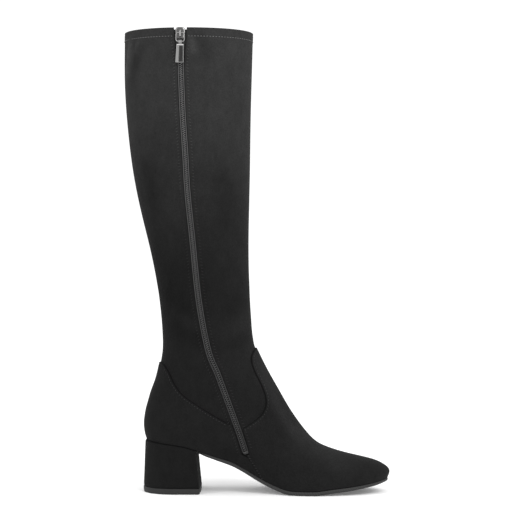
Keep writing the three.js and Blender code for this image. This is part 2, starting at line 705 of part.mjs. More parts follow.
function zipTab() {
  const bore = RING_WIRE / 2 * Math.SQRT2 + GAP;
  const round = bore + KNUCKLE_WALL;
  const knuckle = new THREE.Shape().absarc(0, 0, round, 0, 2 * Math.PI);
  knuckle.holes.push(new THREE.Path().absarc(0, 0, bore, 0, 2 * Math.PI));
  const barrel = new THREE.ExtrudeGeometry(knuckle, {
    depth: KNUCKLE_WIDTH,
    bevelEnabled: false,
    curveSegments: BARREL_SEGMENTS,
  });
  barrel.rotateY(Math.PI / 2);
  barrel.translate(-KNUCKLE_WIDTH / 2, 0, 0);
  const top = -bore - KNUCKLE_WALL / 2;
  const low = -TAB_LENGTH;
  const neck = top - KNUCKLE_WALL - GAP;
  const wide = TAB_WIDTH / 2;
  const slim = TAB_TOP_WIDTH / 2;
  const shape = new THREE.Shape();
  shape.moveTo(-wide + TAB_CORNER, low);
  shape.lineTo(wide - TAB_CORNER, low);
  shape.quadraticCurveTo(wide, low, wide, low + TAB_CORNER);
  shape.lineTo(slim, neck - TAB_CORNER);
  shape.quadraticCurveTo(slim, neck, slim - TAB_CORNER, neck);
  shape.lineTo(KNUCKLE_WIDTH / 2, neck);
  shape.lineTo(KNUCKLE_WIDTH / 2, top);
  shape.lineTo(-KNUCKLE_WIDTH / 2, top);
  shape.lineTo(-KNUCKLE_WIDTH / 2, neck);
  shape.lineTo(-slim + TAB_CORNER, neck);
  shape.quadraticCurveTo(-slim, neck, -slim, neck - TAB_CORNER);
  shape.lineTo(-wide, low + TAB_CORNER);
  shape.quadraticCurveTo(-wide, low, -wide + TAB_CORNER, low);
  return slab(shape, -TAB_THICKNESS / 2, TAB_THICKNESS).add(solid(barrel));
}

const FINISH = {
  suede: { color: 0x2c2b2c, roughness: 0.95, metalness: 0 },
  lining: { color: 0x1c1c1d, roughness: 0.9, metalness: 0 },
  heelCover: { color: 0x1f1f20, roughness: 0.85, metalness: 0 },
  sole: { color: 0x38383a, roughness: 0.6, metalness: 0 },
  rubber: { color: 0x333335, roughness: 0.7, metalness: 0 },
  tape: { color: 0x242425, roughness: 0.9, metalness: 0 },
  teeth: { color: 0x454547, roughness: 0.5, metalness: 0 },
  metal: { color: 0x6f7073, roughness: 0.28, metalness: 1 },
};

function piece(name, manifold, finish) {
  const mesh = new THREE.Mesh(geometryOf(manifold), new THREE.MeshStandardMaterial(FINISH[finish]));
  mesh.name = name;
  return mesh;
}

const boot = new THREE.Group();
boot.add(
  piece('upper', upper(), 'suede'),
  piece('vamp', vamp(), 'suede'),
  piece('quarter', quarter(), 'suede'),
  piece('insole', insole(), 'lining'),
  piece('outsole', outsole(), 'sole'),
  piece('heel_block', heelBlock(), 'heelCover'),
  piece('top_lift', topLift(), 'rubber'),
  piece('zip_tape', zipTape(), 'tape'),
  piece('zip_chain', zipChain(), 'teeth'),
);

const pull = new THREE.Group();
const slider = piece('zip_slider', zipSlider(), 'metal');
const link = piece('zip_ring', zipRing(), 'metal');
const tab = piece('zip_tab', zipTab(), 'metal');
pull.position.set(NECK.x, SLIDER_FACE, NECK.z);
link.position.set(0, -AXIS_OUT, 0);
tab.position.set(0, -AXIS_OUT, -LINK_REACH);
pull.add(slider, link, tab);
boot.add(pull);

const bounds = new THREE.Box3().setFromObject(boot);
const centre = bounds.getCenter(new THREE.Vector3());
boot.position.set(-centre.x, -centre.y, 0);
const scene = new THREE.Group();
scene.add(boot);

export default scene;
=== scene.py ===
import math

import bmesh
import bpy
import numpy as np
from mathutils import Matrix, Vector
from mathutils.kdtree import KDTree

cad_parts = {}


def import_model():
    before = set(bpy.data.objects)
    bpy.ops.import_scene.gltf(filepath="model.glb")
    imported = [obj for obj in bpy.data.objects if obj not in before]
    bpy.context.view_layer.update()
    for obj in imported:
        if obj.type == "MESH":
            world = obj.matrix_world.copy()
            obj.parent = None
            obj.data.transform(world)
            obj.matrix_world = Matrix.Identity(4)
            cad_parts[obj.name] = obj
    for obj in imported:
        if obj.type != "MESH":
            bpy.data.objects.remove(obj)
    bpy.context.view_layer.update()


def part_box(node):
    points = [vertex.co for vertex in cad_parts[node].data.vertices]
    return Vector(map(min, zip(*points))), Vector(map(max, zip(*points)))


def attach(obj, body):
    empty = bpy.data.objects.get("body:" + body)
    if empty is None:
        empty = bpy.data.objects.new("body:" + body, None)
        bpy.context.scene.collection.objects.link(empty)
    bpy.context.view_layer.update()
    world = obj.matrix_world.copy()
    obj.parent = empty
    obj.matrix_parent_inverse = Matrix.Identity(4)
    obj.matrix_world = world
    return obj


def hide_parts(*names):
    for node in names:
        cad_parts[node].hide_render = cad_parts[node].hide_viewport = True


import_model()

# A left knee-high boot of suede-look stretch cloth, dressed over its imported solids.
# Lengths are in metres. The boot's own axes start at the back of the heel, on the middle
# of the shaft and at the floor: X to the toe, Y to the outer side, Z up.

MM = 0.001

# Foot and leg
FOOT_LENGTH = 245 * MM
BALL_WIDTH = 78 * MM
INSTEP_RISE = 98.5 * MM
SHAFT_HEIGHT = 404.5 * MM
CALF_DEPTH = 128 * MM
CALF_WIDTH = 91 * MM
SHAFT_AXIS = 0.184 * FOOT_LENGTH
UPPER_WALL = 1.5 * MM

# Sole and heel
HEEL_HEIGHT = 49 * MM
TOE_SPRING = 10.8 * MM
SOLE_THICKNESS = 4.3 * MM
SOLE_EDGE = 2.3 * MM
HEEL_LENGTH = 57.5 * MM
HEEL_WIDTH = 57 * MM
HEEL_TUCK = 3 * MM
HEEL_LEDGE = 1.5 * MM
LIFT_THICKNESS = 5.6 * MM
LIFT_EDGE = 0.2 * MM

# Panels, zip and stitching
PANEL_THICKNESS = 1.3 * MM
GAP = 0.3 * MM
CHAIN_WIDTH = 6.2 * MM
TAPE_WIDTH = 20 * MM
TAPE_THICKNESS = 0.8 * MM
SLOT_FLARE = 2.9 * MM
FLARE_HEIGHT = 34 * MM
HEM_DEPTH = 8.5 * MM
STITCH_PITCH = 3.1 * MM
STITCH_LENGTH = 1.9 * MM
THREAD = 0.28 * MM
STITCH_INSET = 2.6 * MM

# Camera of the photograph: level, at this distance from the boot's middle plane, with one
# picture element to the millimetre there
PICTURE = 512
CAMERA_DISTANCE = 1500 * MM
CAMERA_ALONG = 112 * MM
CAMERA_HEIGHT = 234.3 * MM

FEATHER_BACK = HEEL_HEIGHT + 0.65 * SOLE_THICKNESS
INSTEP_HEIGHT = FEATHER_BACK + INSTEP_RISE
COLLAR_HEIGHT = FEATHER_BACK + SHAFT_HEIGHT

# Underside of the sole: heel is a share of the heel height, toe of the toe spring, and
# thick of the sole's thickness. at is a share of the foot's length.
SOLE_COLUMNS = ("at", "heel", "toe", "thick")
SOLE_LINE = (
    (0.0, 1.0, 0, 0.65),
    (0.08, 0.965, 0, 0.65),
    (0.16, 0.91, 0, 0.65),
    (0.235, 0.79, 0, 0.68),
    (0.3, 0.667, 0, 0.82),
    (0.365, 0.54, 0, 1.0),
    (0.41, 0.415, 0, 1.0),
    (0.455, 0.28, 0, 1.0),
    (0.5, 0.163, 0, 1.0),
    (0.545, 0.07, 0, 1.0),
    (0.58, 0.015, 0, 1.0),
    (0.61, 0, 0, 1.0),
    (0.69, 0, 0, 1.0),
    (0.75, 0, 0.17, 1.0),
    (0.81, 0, 0.33, 0.97),
    (0.87, 0, 0.52, 0.9),
    (0.93, 0, 0.74, 0.83),
    (1.0, 0, 1.0, 0.75),
)
SWING_COLUMNS = ("at", "side")
SWING = ((0.15, 0), (0.41, 0.035), (0.68, 0.028), (1.0, -0.062))
HEEL_STATION = 0.143 * FOOT_LENGTH
WAIST_STATION = 0.408 * FOOT_LENGTH
BALL_STATION = 0.673 * FOOT_LENGTH

# Rings of the foot from the feather line to the instep, in the solids' shares
FOOT_COLUMNS = ("back", "rise", "front", "crest", "heel", "waist", "ball", "trail", "lead", "follow")
FOOT_RINGS = (
    (0.019, 0, 0.984, 0, 0.72, 0.6, 1.0, 0.135, 0.32, 1),
    (0.0135, 0.038, 0.993, 0.038, 0.745, 0.67, 1.015, 0.137, 0.32, 0.97),
    (0.01, 0.073, 0.9885, 0.067, 0.76, 0.73, 1.015, 0.14, 0.32, 0.93),
    (0.0075, 0.114, 0.96, 0.101, 0.77, 0.78, 1.0, 0.143, 0.32, 0.88),
    (0.0065, 0.154, 0.92, 0.126, 0.775, 0.82, 0.985, 0.15, 0.33, 0.82),
    (0.007, 0.195, 0.86, 0.15, 0.777, 0.848, 0.972, 0.16, 0.345, 0.75),
    (0.009, 0.236, 0.798, 0.177, 0.777, 0.87, 0.96, 0.175, 0.36, 0.68),
    (0.0115, 0.276, 0.736, 0.215, 0.774, 0.886, 0.948, 0.19, 0.385, 0.6),
    (0.016, 0.327, 0.694, 0.258, 0.77, 0.895, 0.935, 0.2, 0.4, 0.52),
    (0.023, 0.388, 0.65, 0.341, 0.77, 0.895, 0.91, 0.225, 0.42, 0.42),
    (0.035, 0.489, 0.592, 0.486, 0.775, 0.885, 0.885, 0.28, 0.44, 0.28),
    (0.0515, 0.601, 0.545, 0.632, 0.79, 0.867, 0.867, 0.34, 0.46, 0.16),
    (0.065, 0.733, 0.5, 0.776, 0.81, 0.853, 0.853, 0.41, 0.48, 0.08),
    (0.075, 0.865, 0.46, 0.921, 0.83, 0.848, 0.848, 0.46, 0.49, 0.03),
    (0.0775, 1, 0.447, 1, 0.846, 0.846, 0.846, 0.5, 0.5, 0),
)
SHAFT_COLUMNS = ("height", "back", "front", "half")
SHAFT_RINGS = (
    (0.064, -0.213, 0.485, 0.715),
    (0.13, -0.23, 0.477, 0.71),
    (0.211, -0.261, 0.468, 0.721),
    (0.309, -0.31, 0.465, 0.767),
    (0.424, -0.377, 0.469, 0.842),
    (0.555, -0.439, 0.475, 0.927),
    (0.702, -0.48, 0.481, 0.98),
    (0.849, -0.501, 0.489, 0.993),
    (1, -0.5, 0.5, 1),
)
TOE_ROUNDNESS = 1.85
SHAFT_ROUNDNESS = 2.1

# Side views of the panels' edges and the side seam: shares of the foot's length and of
# the instep's height
QUARTER_EDGE = (
    (0.0, 0.865), (0.076, 0.857), (0.108, 0.803), (0.133, 0.722), (0.166, 0.655), (0.221, 0.591),
    (0.284, 0.527), (0.343, 0.474),
)
VAMP_EDGE = (
    (0.403, 0.437), (0.462, 0.501), (0.49, 0.562), (0.493, 0.628), (0.476, 0.708), (0.447, 0.804),
    (0.434, 0.88), (0.443, 0.93), (0.46, 0.96),
)
SIDE_SEAM = ((0.416, 0.285), (0.482, 0.1))
ZIP_ON_FOOT = ((0.414, 0.287), (0.387, 0.421), (0.349, 0.59), (0.305, 0.785), (0.266, 0.947))

# The zip on the shaft: share of the height, and of the way from the back to the front
ZIP_ON_SHAFT = (
    (0.135, 0.445), (0.335, 0.455), (0.475, 0.463), (0.605, 0.472), (0.74, 0.466), (0.897, 0.456),
    (1.02, 0.449),
)

# The boot's own zero in the frame: the heel's lift starts there and lies across it evenly
lift_low, lift_high = (np.array(corner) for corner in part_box("top_lift"))
ORIGIN = np.array([lift_low[0] + LIFT_EDGE, (lift_low[1] + lift_high[1]) / 2, 0])


# Curves through the tables

def smooth_curve(knots, values):
    """A natural cubic through the values."""
    knots, values = np.asarray(knots, float), np.asarray(values, float)
    gap = np.diff(knots)
    slope = np.diff(values) / gap
    system = np.eye(len(knots))
    right = np.zeros(len(knots))
    for i in range(1, len(knots) - 1):
        system[i, i - 1:i + 2] = gap[i - 1], 2 * (gap[i - 1] + gap[i]), gap[i]
        right[i] = 6 * (slope[i] - slope[i - 1])
    bend = np.linalg.solve(system, right)

    def value(position):
        i = np.clip(np.searchsorted(knots, position) - 1, 0, len(gap) - 1)
        before, after, h = knots[i + 1] - position, position - knots[i], gap[i]
        curved = (bend[i] * before ** 3 + bend[i + 1] * after ** 3) / (6 * h)
        left = (values[i] / h - bend[i] * h / 6) * before
        return curved + left + (values[i + 1] / h - bend[i + 1] * h / 6) * after
    return value


def held_curve(knots, values):
    """A smooth curve that never passes its values, flat where they turn."""
    knots, values = np.asarray(knots, float), np.asarray(values, float)
    gap = np.diff(knots)
    slope = np.diff(values) / gap
    tangent = np.zeros(len(knots))
    both = slope[:-1] * slope[1:]
    rising = both > 0
    tangent[1:-1][rising] = 2 * both[rising] / (slope[:-1] + slope[1:])[rising]

    def value(position):
        position = np.clip(position, knots[0], knots[-1])
        i = np.clip(np.searchsorted(knots, position) - 1, 0, len(gap) - 1)
        t = (position - knots[i]) / gap[i]
        start = (1 + 2 * t) * (1 - t) ** 2 * values[i] + t * (1 - t) ** 2 * gap[i] * tangent[i]
        return start + t * t * (3 - 2 * t) * values[i + 1] + t * t * (t - 1) * gap[i] * tangent[i + 1]
    return value


def columns_of(table, names):
    return {name: np.array([row[i] for row in table], float) for i, name in enumerate(names)}


def smoothstep(value, start, end):
    t = np.clip((value - start) / (end - start), 0, 1)
    return t * t * (3 - 2 * t)


def lerp(a, b, t):
    return a + (b - a) * t


def bump_at(value, centre, half):
    return np.exp(-((value - centre) / half) ** 2)


sole_table = columns_of(SOLE_LINE, SOLE_COLUMNS)
heel_share, toe_share, thick_share = (
    held_curve(sole_table["at"], sole_table[name]) for name in ("heel", "toe", "thick")
)
swing_share = held_curve(*columns_of(SWING, SWING_COLUMNS).values())


def sole_under(x):
    return HEEL_HEIGHT * heel_share(x / FOOT_LENGTH) + TOE_SPRING * toe_share(x / FOOT_LENGTH)


def feather(x):
    return sole_under(x) + SOLE_THICKNESS * thick_share(x / FOOT_LENGTH)


def swing(x):
    return BALL_WIDTH * swing_share(x / FOOT_LENGTH)


# The upper's form, by level and by the share round it: 0 at the back, 1 at the toe along
# the inner side, and 2 at the back again along the outer side

def level_curves():
    foot = columns_of(FOOT_RINGS, FOOT_COLUMNS)
    shaft = columns_of(SHAFT_RINGS, SHAFT_COLUMNS)
    toe = feather(foot["front"][0] * FOOT_LENGTH)
    height = lerp(INSTEP_HEIGHT, COLLAR_HEIGHT, shaft["height"])
    half = shaft["half"] * CALF_WIDTH / 2
    even = np.full(len(half), 0.5)
    values = {
        "back": (foot["back"] * FOOT_LENGTH, SHAFT_AXIS + shaft["back"] * CALF_DEPTH),
        "front": (foot["front"] * FOOT_LENGTH, SHAFT_AXIS + shaft["front"] * CALF_DEPTH),
        "back_z": (FEATHER_BACK + foot["rise"] * INSTEP_RISE, height),
        "front_z": (lerp(toe, INSTEP_HEIGHT, foot["crest"]), height),
        "heel": (foot["heel"] * BALL_WIDTH / 2, half),
        "waist": (foot["waist"] * BALL_WIDTH / 2, half),
        "ball": (foot["ball"] * BALL_WIDTH / 2, half),
        "trail": (foot["trail"], even),
        "lead": (foot["lead"], even),
        "follow": (foot["follow"], np.zeros(len(half))),
    }
    joined = {name: np.concatenate(parts) for name, parts in values.items()}
    count = len(joined["back"])
    return {name: smooth_curve(range(count), column) for name, column in joined.items()}, count - 1


LEVEL, TOP = level_curves()
FEATHER_START = float(LEVEL["back"](0.0))
FEATHER_END = float(LEVEL["front"](0.0))


def ending(reach, power):
    return (1 - (1 - np.clip(reach, 0, 1)) ** power) ** (1 / power)


def level_height(level, across):
    x = lerp(FEATHER_START, FEATHER_END, across)
    chord = lerp(feather(FEATHER_START), feather(FEATHER_END), across)
    straight = lerp(LEVEL["back_z"](level), LEVEL["front_z"](level), across)
    return straight + LEVEL["follow"](level) * (feather(x) - chord)


def bare(level, turn):
    """Points of the form's own surface."""
    across = (1 - np.cos(np.pi * turn)) / 2
    side = np.where(np.mod(turn, 2) < 1, -1.0, 1.0)
    x = lerp(LEVEL["back"](level), LEVEL["front"](level), across)
    behind = lerp(LEVEL["heel"](level), LEVEL["waist"](level), smoothstep(x, HEEL_STATION, WAIST_STATION))
    girth = lerp(behind, LEVEL["ball"](level), smoothstep(x, WAIST_STATION, BALL_STATION))
    follow = LEVEL["follow"](level)
    rear = ending(across / LEVEL["trail"](level), SHAFT_ROUNDNESS)
    fore = ending((1 - across) / LEVEL["lead"](level), lerp(SHAFT_ROUNDNESS, TOE_ROUNDNESS, follow))
    y = follow * swing(x) + side * girth * rear * fore
    return np.stack([x, y, level_height(level, across)], -1)


TURN_STEP = 0.004
LEVEL_STEP = 0.05


def outward(level, turn):
    """Unit normals of the form, level at its lower and upper edge."""
    along = bare(level, turn + TURN_STEP) - bare(level, turn - TURN_STEP)
    up = bare(np.minimum(level + LEVEL_STEP, TOP), turn) - bare(np.maximum(level - LEVEL_STEP, 0), turn)
    normal = np.cross(along, up)
    edge = smoothstep(np.minimum(level, TOP - level), 0, LEVEL_STEP * 4)
    normal[..., 2] *= edge
    return normal / np.linalg.norm(normal, axis=-1, keepdims=True)


def form(level, turn, out=0.0):
    level, turn = np.broadcast_arrays(np.asarray(level, float), np.asarray(turn, float))
    out = np.broadcast_to(out, level.shape)[..., None]
    return bare(level, turn) + outward(level, turn) * out


def locate(x, z):
    """Level and turn of the inner side's points that the side view shows at x and z."""
    low, high = np.zeros(np.shape(x)), np.full(np.shape(x), float(TOP))
    for _ in range(40):
        level = (low + high) / 2
        back, front = LEVEL["back"](level), LEVEL["front"](level)
        across = np.clip((x - back) / (front - back), 0, 1)
        below = level_height(level, across) < z
        low, high = np.where(below, level, low), np.where(below, high, level)
    return level, np.arccos(1 - 2 * across) / np.pi


# Side-view curves

def through(points, steps=24):
    """A smooth curve through points in the side view."""
    points = np.asarray(points, float)
    padded = np.vstack([points[:1], points, points[-1:]])
    made = []
    for i in range(len(points) - 1):
        a, b, c, d = padded[i:i + 4]
        t = np.arange(steps)[:, None] / steps
        slope, far = (c - a) / 2, (d - b) / 2
        cubic = (2 * b - 2 * c + slope + far) * t ** 3 + (3 * c - 3 * b - 2 * slope - far) * t ** 2
        made.append(cubic + slope * t + b)
    return np.vstack(made + [points[-1:]])


def spaced(points, step):
    """The same curve with its points a step apart."""
    length = np.concatenate([[0], np.cumsum(np.linalg.norm(np.diff(points, axis=0), axis=1))])
    count = max(2, int(round(length[-1] / step)) + 1)
    at = np.linspace(0, length[-1], count)
    return np.stack([np.interp(at, length, points[:, k]) for k in range(points.shape[1])], -1)


def on_foot(table):
    return np.array(table) * [FOOT_LENGTH, INSTEP_HEIGHT]


SHAFT_LEVELS = np.arange(len(FOOT_RINGS) - 1, TOP + 1)


def shaft_level(z):
    """Level of a height on the shaft, where the levels are flat."""
    return np.interp(z, LEVEL["back_z"](SHAFT_LEVELS), SHAFT_LEVELS)


def shaft_spot(height, across):
    z = lerp(INSTEP_HEIGHT, COLLAR_HEIGHT, height)
    level = shaft_level(z)
    return lerp(LEVEL["back"](level), LEVEL["front"](level), across), z


def zip_line():
    shaft = [shaft_spot(height, across) for height, across in ZIP_ON_SHAFT]
    return spaced(through(np.vstack([on_foot(ZIP_ON_FOOT), shaft])), 0.5 * MM)


ZIP = zip_line()
ZIP_TANGENT = np.gradient(ZIP, axis=0)
ZIP_TANGENT /= np.linalg.norm(ZIP_TANGENT, axis=1, keepdims=True)
ZIP_FORWARD = np.stack([ZIP_TANGENT[:, 1], -ZIP_TANGENT[:, 0]], -1)
ZIP_LENGTH = 0.5 * MM * (len(ZIP) - 1)


def zip_side(station, aside):
    """Side-view points beside the zip: station is the length up it, aside the way forward."""
    index = np.asarray(station, float) / ZIP_LENGTH * (len(ZIP) - 1)
    knots = np.arange(len(ZIP))
    start = np.minimum(index, 0)[..., None] * ZIP_LENGTH / (len(ZIP) - 1) * ZIP_TANGENT[0]
    point = np.stack([np.interp(index, knots, ZIP[:, k]) for k in (0, 1)], -1)
    forward = np.stack([np.interp(index, knots, ZIP_FORWARD[:, k]) for k in (0, 1)], -1)
    return point + start + forward * np.asarray(aside, float)[..., None]


def zip_point(station, aside, out=0.0):
    side = zip_side(*np.broadcast_arrays(np.asarray(station, float), np.asarray(aside, float)))
    level, turn = locate(side[..., 0], side[..., 1])
    return form(level, turn, out)


SLOT_TAIL = 4.5 * MM
ZIP_FOOT = 3.9 * MM
ZIP_END = float(locate(*zip_side(np.array([-ZIP_FOOT]), np.zeros(1)).T)[0][0])


def flare(station):
    """How much wider each side of the slot is towards the collar."""
    top = zip_height_station(COLLAR_HEIGHT)
    station = np.asarray(station, float)
    slow = smoothstep(station, top - FLARE_HEIGHT, top - 10 * MM)
    mouth = smoothstep(station, top - 7 * MM, top - 0.5 * MM)
    return SLOT_FLARE * (0.62 * slow + 0.38 * mouth)


def zip_height_station(z):
    return float(np.interp(z, ZIP[:, 1], np.linspace(0, ZIP_LENGTH, len(ZIP))))


SLOT_HALF = CHAIN_WIDTH / 2 + GAP


def edge_turn(points):
    """Turn of a side-view curve at a level, for curves that only climb through the levels."""
    level, turn = locate(points[:, 0], points[:, 1])
    order = np.argsort(level)
    level, turn = level[order], turn[order]
    return lambda at: np.interp(at, level, turn)


def slot_edge(side, half=SLOT_HALF, widen=1.0):
    """An edge of the slot, with the slot's round lower end."""
    station = np.concatenate([SLOT_TAIL * np.sin(np.linspace(-np.pi / 2, 0, 24)[1:-1]),
                              np.arange(0, ZIP_LENGTH, 0.5 * MM)])
    narrow = np.sqrt(1 - np.minimum(station / SLOT_TAIL, 0) ** 2)
    return zip_side(station, side * (half * narrow + widen * flare(station)))


# Meshes

def lattice(points, closed=False):
    """Vertices and faces of a grid of points, rows by columns."""
    rows, columns = points.shape[:2]
    strips = columns if closed else columns - 1
    row, column = np.meshgrid(np.arange(rows - 1), np.arange(strips), indexing="ij")
    after = (column + 1) % columns
    low, high = row * columns, (row + 1) * columns
    faces = np.stack([low + column, low + after, high + after, high + column], -1)
    return points.reshape(-1, 3), faces.reshape(-1, 4)


def joined(parts):
    vertices, faces, count = [], [], 0
    for points, sides in parts:
        vertices.append(np.asarray(points))
        sides = sides.tolist() if isinstance(sides, np.ndarray) else sides
        faces += [[i + count for i in face] for face in sides]
        count += len(points)
    return np.vstack(vertices), faces


def piece(name, part, *materials, body="boot", stands_for=(), slot=None,
          marks=None, shade=None, merge=0.0, sharp=None):
    vertices, faces = part
    mesh = bpy.data.meshes.new(name)
    mesh.from_pydata((np.asarray(vertices) + ORIGIN).tolist(), [], [list(map(int, face)) for face in faces])
    if marks is not None:
        mesh.polygons.foreach_set("material_index", np.asarray(marks, np.int32))
    if shade is not None:
        grey_level = np.repeat(np.asarray(shade, np.float32)[:, None], 4, axis=1)
        mesh.attributes.new("shade", "FLOAT_COLOR", "POINT").data.foreach_set("color", grey_level.ravel())
    if merge:
        shell = bmesh.new()
        shell.from_mesh(mesh)
        bmesh.ops.remove_doubles(shell, verts=shell.verts, dist=merge)
        shell.to_mesh(mesh)
        shell.free()
    mesh.shade_smooth()
    if sharp:
        mesh.set_sharp_from_angle(angle=math.radians(sharp))
    for material in materials:
        mesh.materials.append(material)
    made = bpy.data.objects.new(name, mesh)
    bpy.context.scene.collection.objects.link(made)
    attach(made, body)
    for node in stands_for:
        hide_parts(node)
    return made


def unit(vectors):
    return vectors / np.maximum(np.linalg.norm(vectors, axis=-1, keepdims=True), 1e-12)


def tube(path, radius, sides=12, closed=False, normal=(0, -1, 0)):
    """A round wire along a path. radius is one number or one for each point."""
    path = np.asarray(path, float)
    if closed:
        along = np.roll(path, -1, axis=0) - np.roll(path, 1, axis=0)
    else:
        along = np.gradient(path, axis=0)
    along = unit(along)
    first = unit(np.asarray(normal, float) - along * (along @ np.asarray(normal, float))[:, None])
    second = np.cross(along, first)
    angle = np.linspace(0, 2 * np.pi, sides, endpoint=False)
    radius = np.broadcast_to(radius, len(path))[:, None, None]
    around = first[:, None] * np.cos(angle)[None, :, None] + second[:, None] * np.sin(angle)[None, :, None]
    rings = path[:, None] + radius * around
    if closed:
        rings = np.concatenate([rings, rings[:1]])
    return lattice(rings, closed=True)


def beads(centres, along, normal, length, radius, lift=0.0, sides=6, steps=5):
    """Short rounded bars, such as stitches: one at each centre."""
    along, normal = unit(along), unit(normal)
    beside = np.cross(normal, along)
    t = np.linspace(-1, 1, steps)
    swell = np.sqrt(np.clip(1 - t ** 4, 0, 1)) * radius + radius * 0.06
    angle = np.linspace(0, 2 * np.pi, sides, endpoint=False)
    parts = []
    for centre, forward, up, right in zip(centres, along, normal, beside):
        spine = centre + np.outer(t, forward) * length / 2 + np.outer(lift * (1 - t * t), up)
        ring = np.cos(angle)[None, :, None] * right + np.sin(angle)[None, :, None] * up
        parts.append(lattice(spine[:, None] + swell[:, None, None] * ring, closed=True))
    return joined(parts)


def plate(rows):
    """A closed plate of rows: each is an outline in X and Z, its depth in Y and its inset."""
    grid = []
    for outline, depth, inset in rows:
        tangent = unit(np.roll(outline, -1, axis=0) - np.roll(outline, 1, axis=0))
        ring = outline + np.stack([-tangent[:, 1], tangent[:, 0]], -1) * inset
        grid.append(np.stack([ring[:, 0], np.full(len(ring), depth), ring[:, 1]], -1))
    points, faces = lattice(np.array(grid), closed=True)
    first = list(range(len(ring)))
    last = [len(points) - 1 - i for i in first]
    return points, faces[:, ::-1].tolist() + [first, last]


def prism(outline, depth_low, depth_high, round_off, steps=4):
    """A plate between two depths, with its edges rounded."""
    outline = np.asarray(outline, float)
    angles = np.arange(steps + 1) / steps * np.pi / 2
    profile = [(round_off * (1 - math.cos(angle)), 1 - math.sin(angle)) for angle in angles]
    rows = [(depth_low, 1.5)] + [(depth_low + depth, inset) for depth, inset in profile]
    rows += [(depth_high - depth, inset) for depth, inset in profile[::-1]] + [(depth_high, 1.5)]
    return plate([(outline, depth, round_off * inset) for depth, inset in rows])


def placed(part, shift):
    points, faces = part
    return np.asarray(points) + np.asarray(shift), faces


# Materials

def grey(level, warm=0.0):
    return (level * (1 + warm), level, level * (1 - warm), 1)


class Look:
    """A material and the nodes that feed its surface."""

    def __init__(self, name, level, roughness, sockets=()):
        self.level = level
        self.material = bpy.data.materials.new(name)
        self.material.use_nodes = True
        surface = self.material.node_tree.nodes["Principled BSDF"]
        self.surface = surface.inputs
        self.wire(surface, {"Base Color": grey(level), "Roughness": roughness, **dict(sockets)})

    def add(self, kind):
        return self.material.node_tree.nodes.new("ShaderNode" + kind)

    def wire(self, node, sockets):
        """Gives each socket a value or another node's output."""
        for name, value in sockets.items():
            if isinstance(value, bpy.types.NodeSocket):
                self.material.node_tree.links.new(value, node.inputs[name])
            else:
                node.inputs[name].default_value = value
        return node

    def feed(self, socket, source):
        self.material.node_tree.links.new(source, self.surface[socket])

    def mapped(self, sockets):
        """The object's own coordinates, turned or stretched."""
        place = self.add("TexCoord").outputs["Object"]
        return self.wire(self.add("Mapping"), {"Vector": place, **sockets}).outputs["Vector"]

    def noise(self, scale, detail=3.0, roughness=0.55, stretch=(1, 1, 1)):
        values = {"Scale": scale, "Detail": detail, "Roughness": roughness}
        place = self.mapped({"Scale": stretch})
        return self.wire(self.add("TexNoise"), {"Vector": place, **values}).outputs["Fac"]

    def tint(self, source, dark, light, low=0.35, high=0.65):
        """Colours the surface by a noise, from dark to light times its level."""
        ramp = self.wire(self.add("ValToRGB"), {"Fac": source})
        for stop, position, share in zip(ramp.color_ramp.elements, (low, high), (dark, light)):
            stop.position = position
            stop.color = grey(self.level * share)
        self.feed("Base Color", ramp.outputs["Color"])

    def relief(self, source, strength, distance):
        """Bumps by a noise, over those that are there."""
        bump = self.wire(self.add("Bump"), {"Height": source, "Strength": strength, "Distance": distance})
        before = self.surface["Normal"].links
        if before:
            self.wire(bump, {"Normal": before[0].from_socket})
        self.feed("Normal", bump.outputs["Normal"])

    def times(self, factor):
        """Multiplies the colour by a socket."""
        mix = self.add("Mix")
        mix.data_type = "RGBA"
        mix.blend_type = "MULTIPLY"
        colour = self.surface["Base Color"].links[0].from_socket
        self.wire(mix, {"Factor": 1.0, "A": colour, "B": factor})
        self.feed("Base Color", mix.outputs["Result"])

    def speckle(self, source, dark, light):
        """Varies the colour by a noise, from dark to light times itself."""
        spread = {"From Min": 0.3, "From Max": 0.7, "To Min": dark, "To Max": light}
        self.times(self.wire(self.add("MapRange"), {"Value": source, **spread}).outputs["Result"])

    def paint(self):
        """Multiplies the colour by the mesh's own shade attribute."""
        shade = self.add("Attribute")
        shade.attribute_name = "shade"
        self.times(shade.outputs["Color"])


def suede(name, level):
    look = Look(name, level, 0.95, {"Sheen Weight": 0.02, "Sheen Roughness": 0.5, "Specular IOR Level": 0.04})
    look.tint(look.noise(85, 9, 0.8, (1.0, 1.0, 0.7)), 0.8, 1.22, 0.3, 0.7)
    look.paint()
    nap_and_highlight = look.noise(1100, 4, 0.7)
    look.speckle(nap_and_highlight, 0.72, 1.28)
    look.relief(nap_and_highlight, 0.7, 0.0005)
    look.relief(look.noise(240, 5), 0.35, 0.0007)
    return look.material


def thread(name, level):
    look = Look(name, level, 0.8, {"Specular IOR Level": 0.1})
    look.tint(look.noise(2400, 2), 0.75, 1.25)
    look.paint()
    return look.material


def cloth(name, level, scale=900.0, shaded=False):
    look = Look(name, level, 0.9, {"Specular IOR Level": 0.2})
    weave = look.noise(scale, 2)
    look.tint(weave, 0.8, 1.2)
    if shaded:
        look.paint()
    look.relief(weave, 0.4, 0.0003)
    return look.material


def satin(name, level, roughness):
    look = Look(name, level, roughness)
    fleck = look.noise(420, 4)
    look.tint(fleck, 0.88, 1.12)
    look.relief(fleck, 0.12, 0.0002)
    return look.material


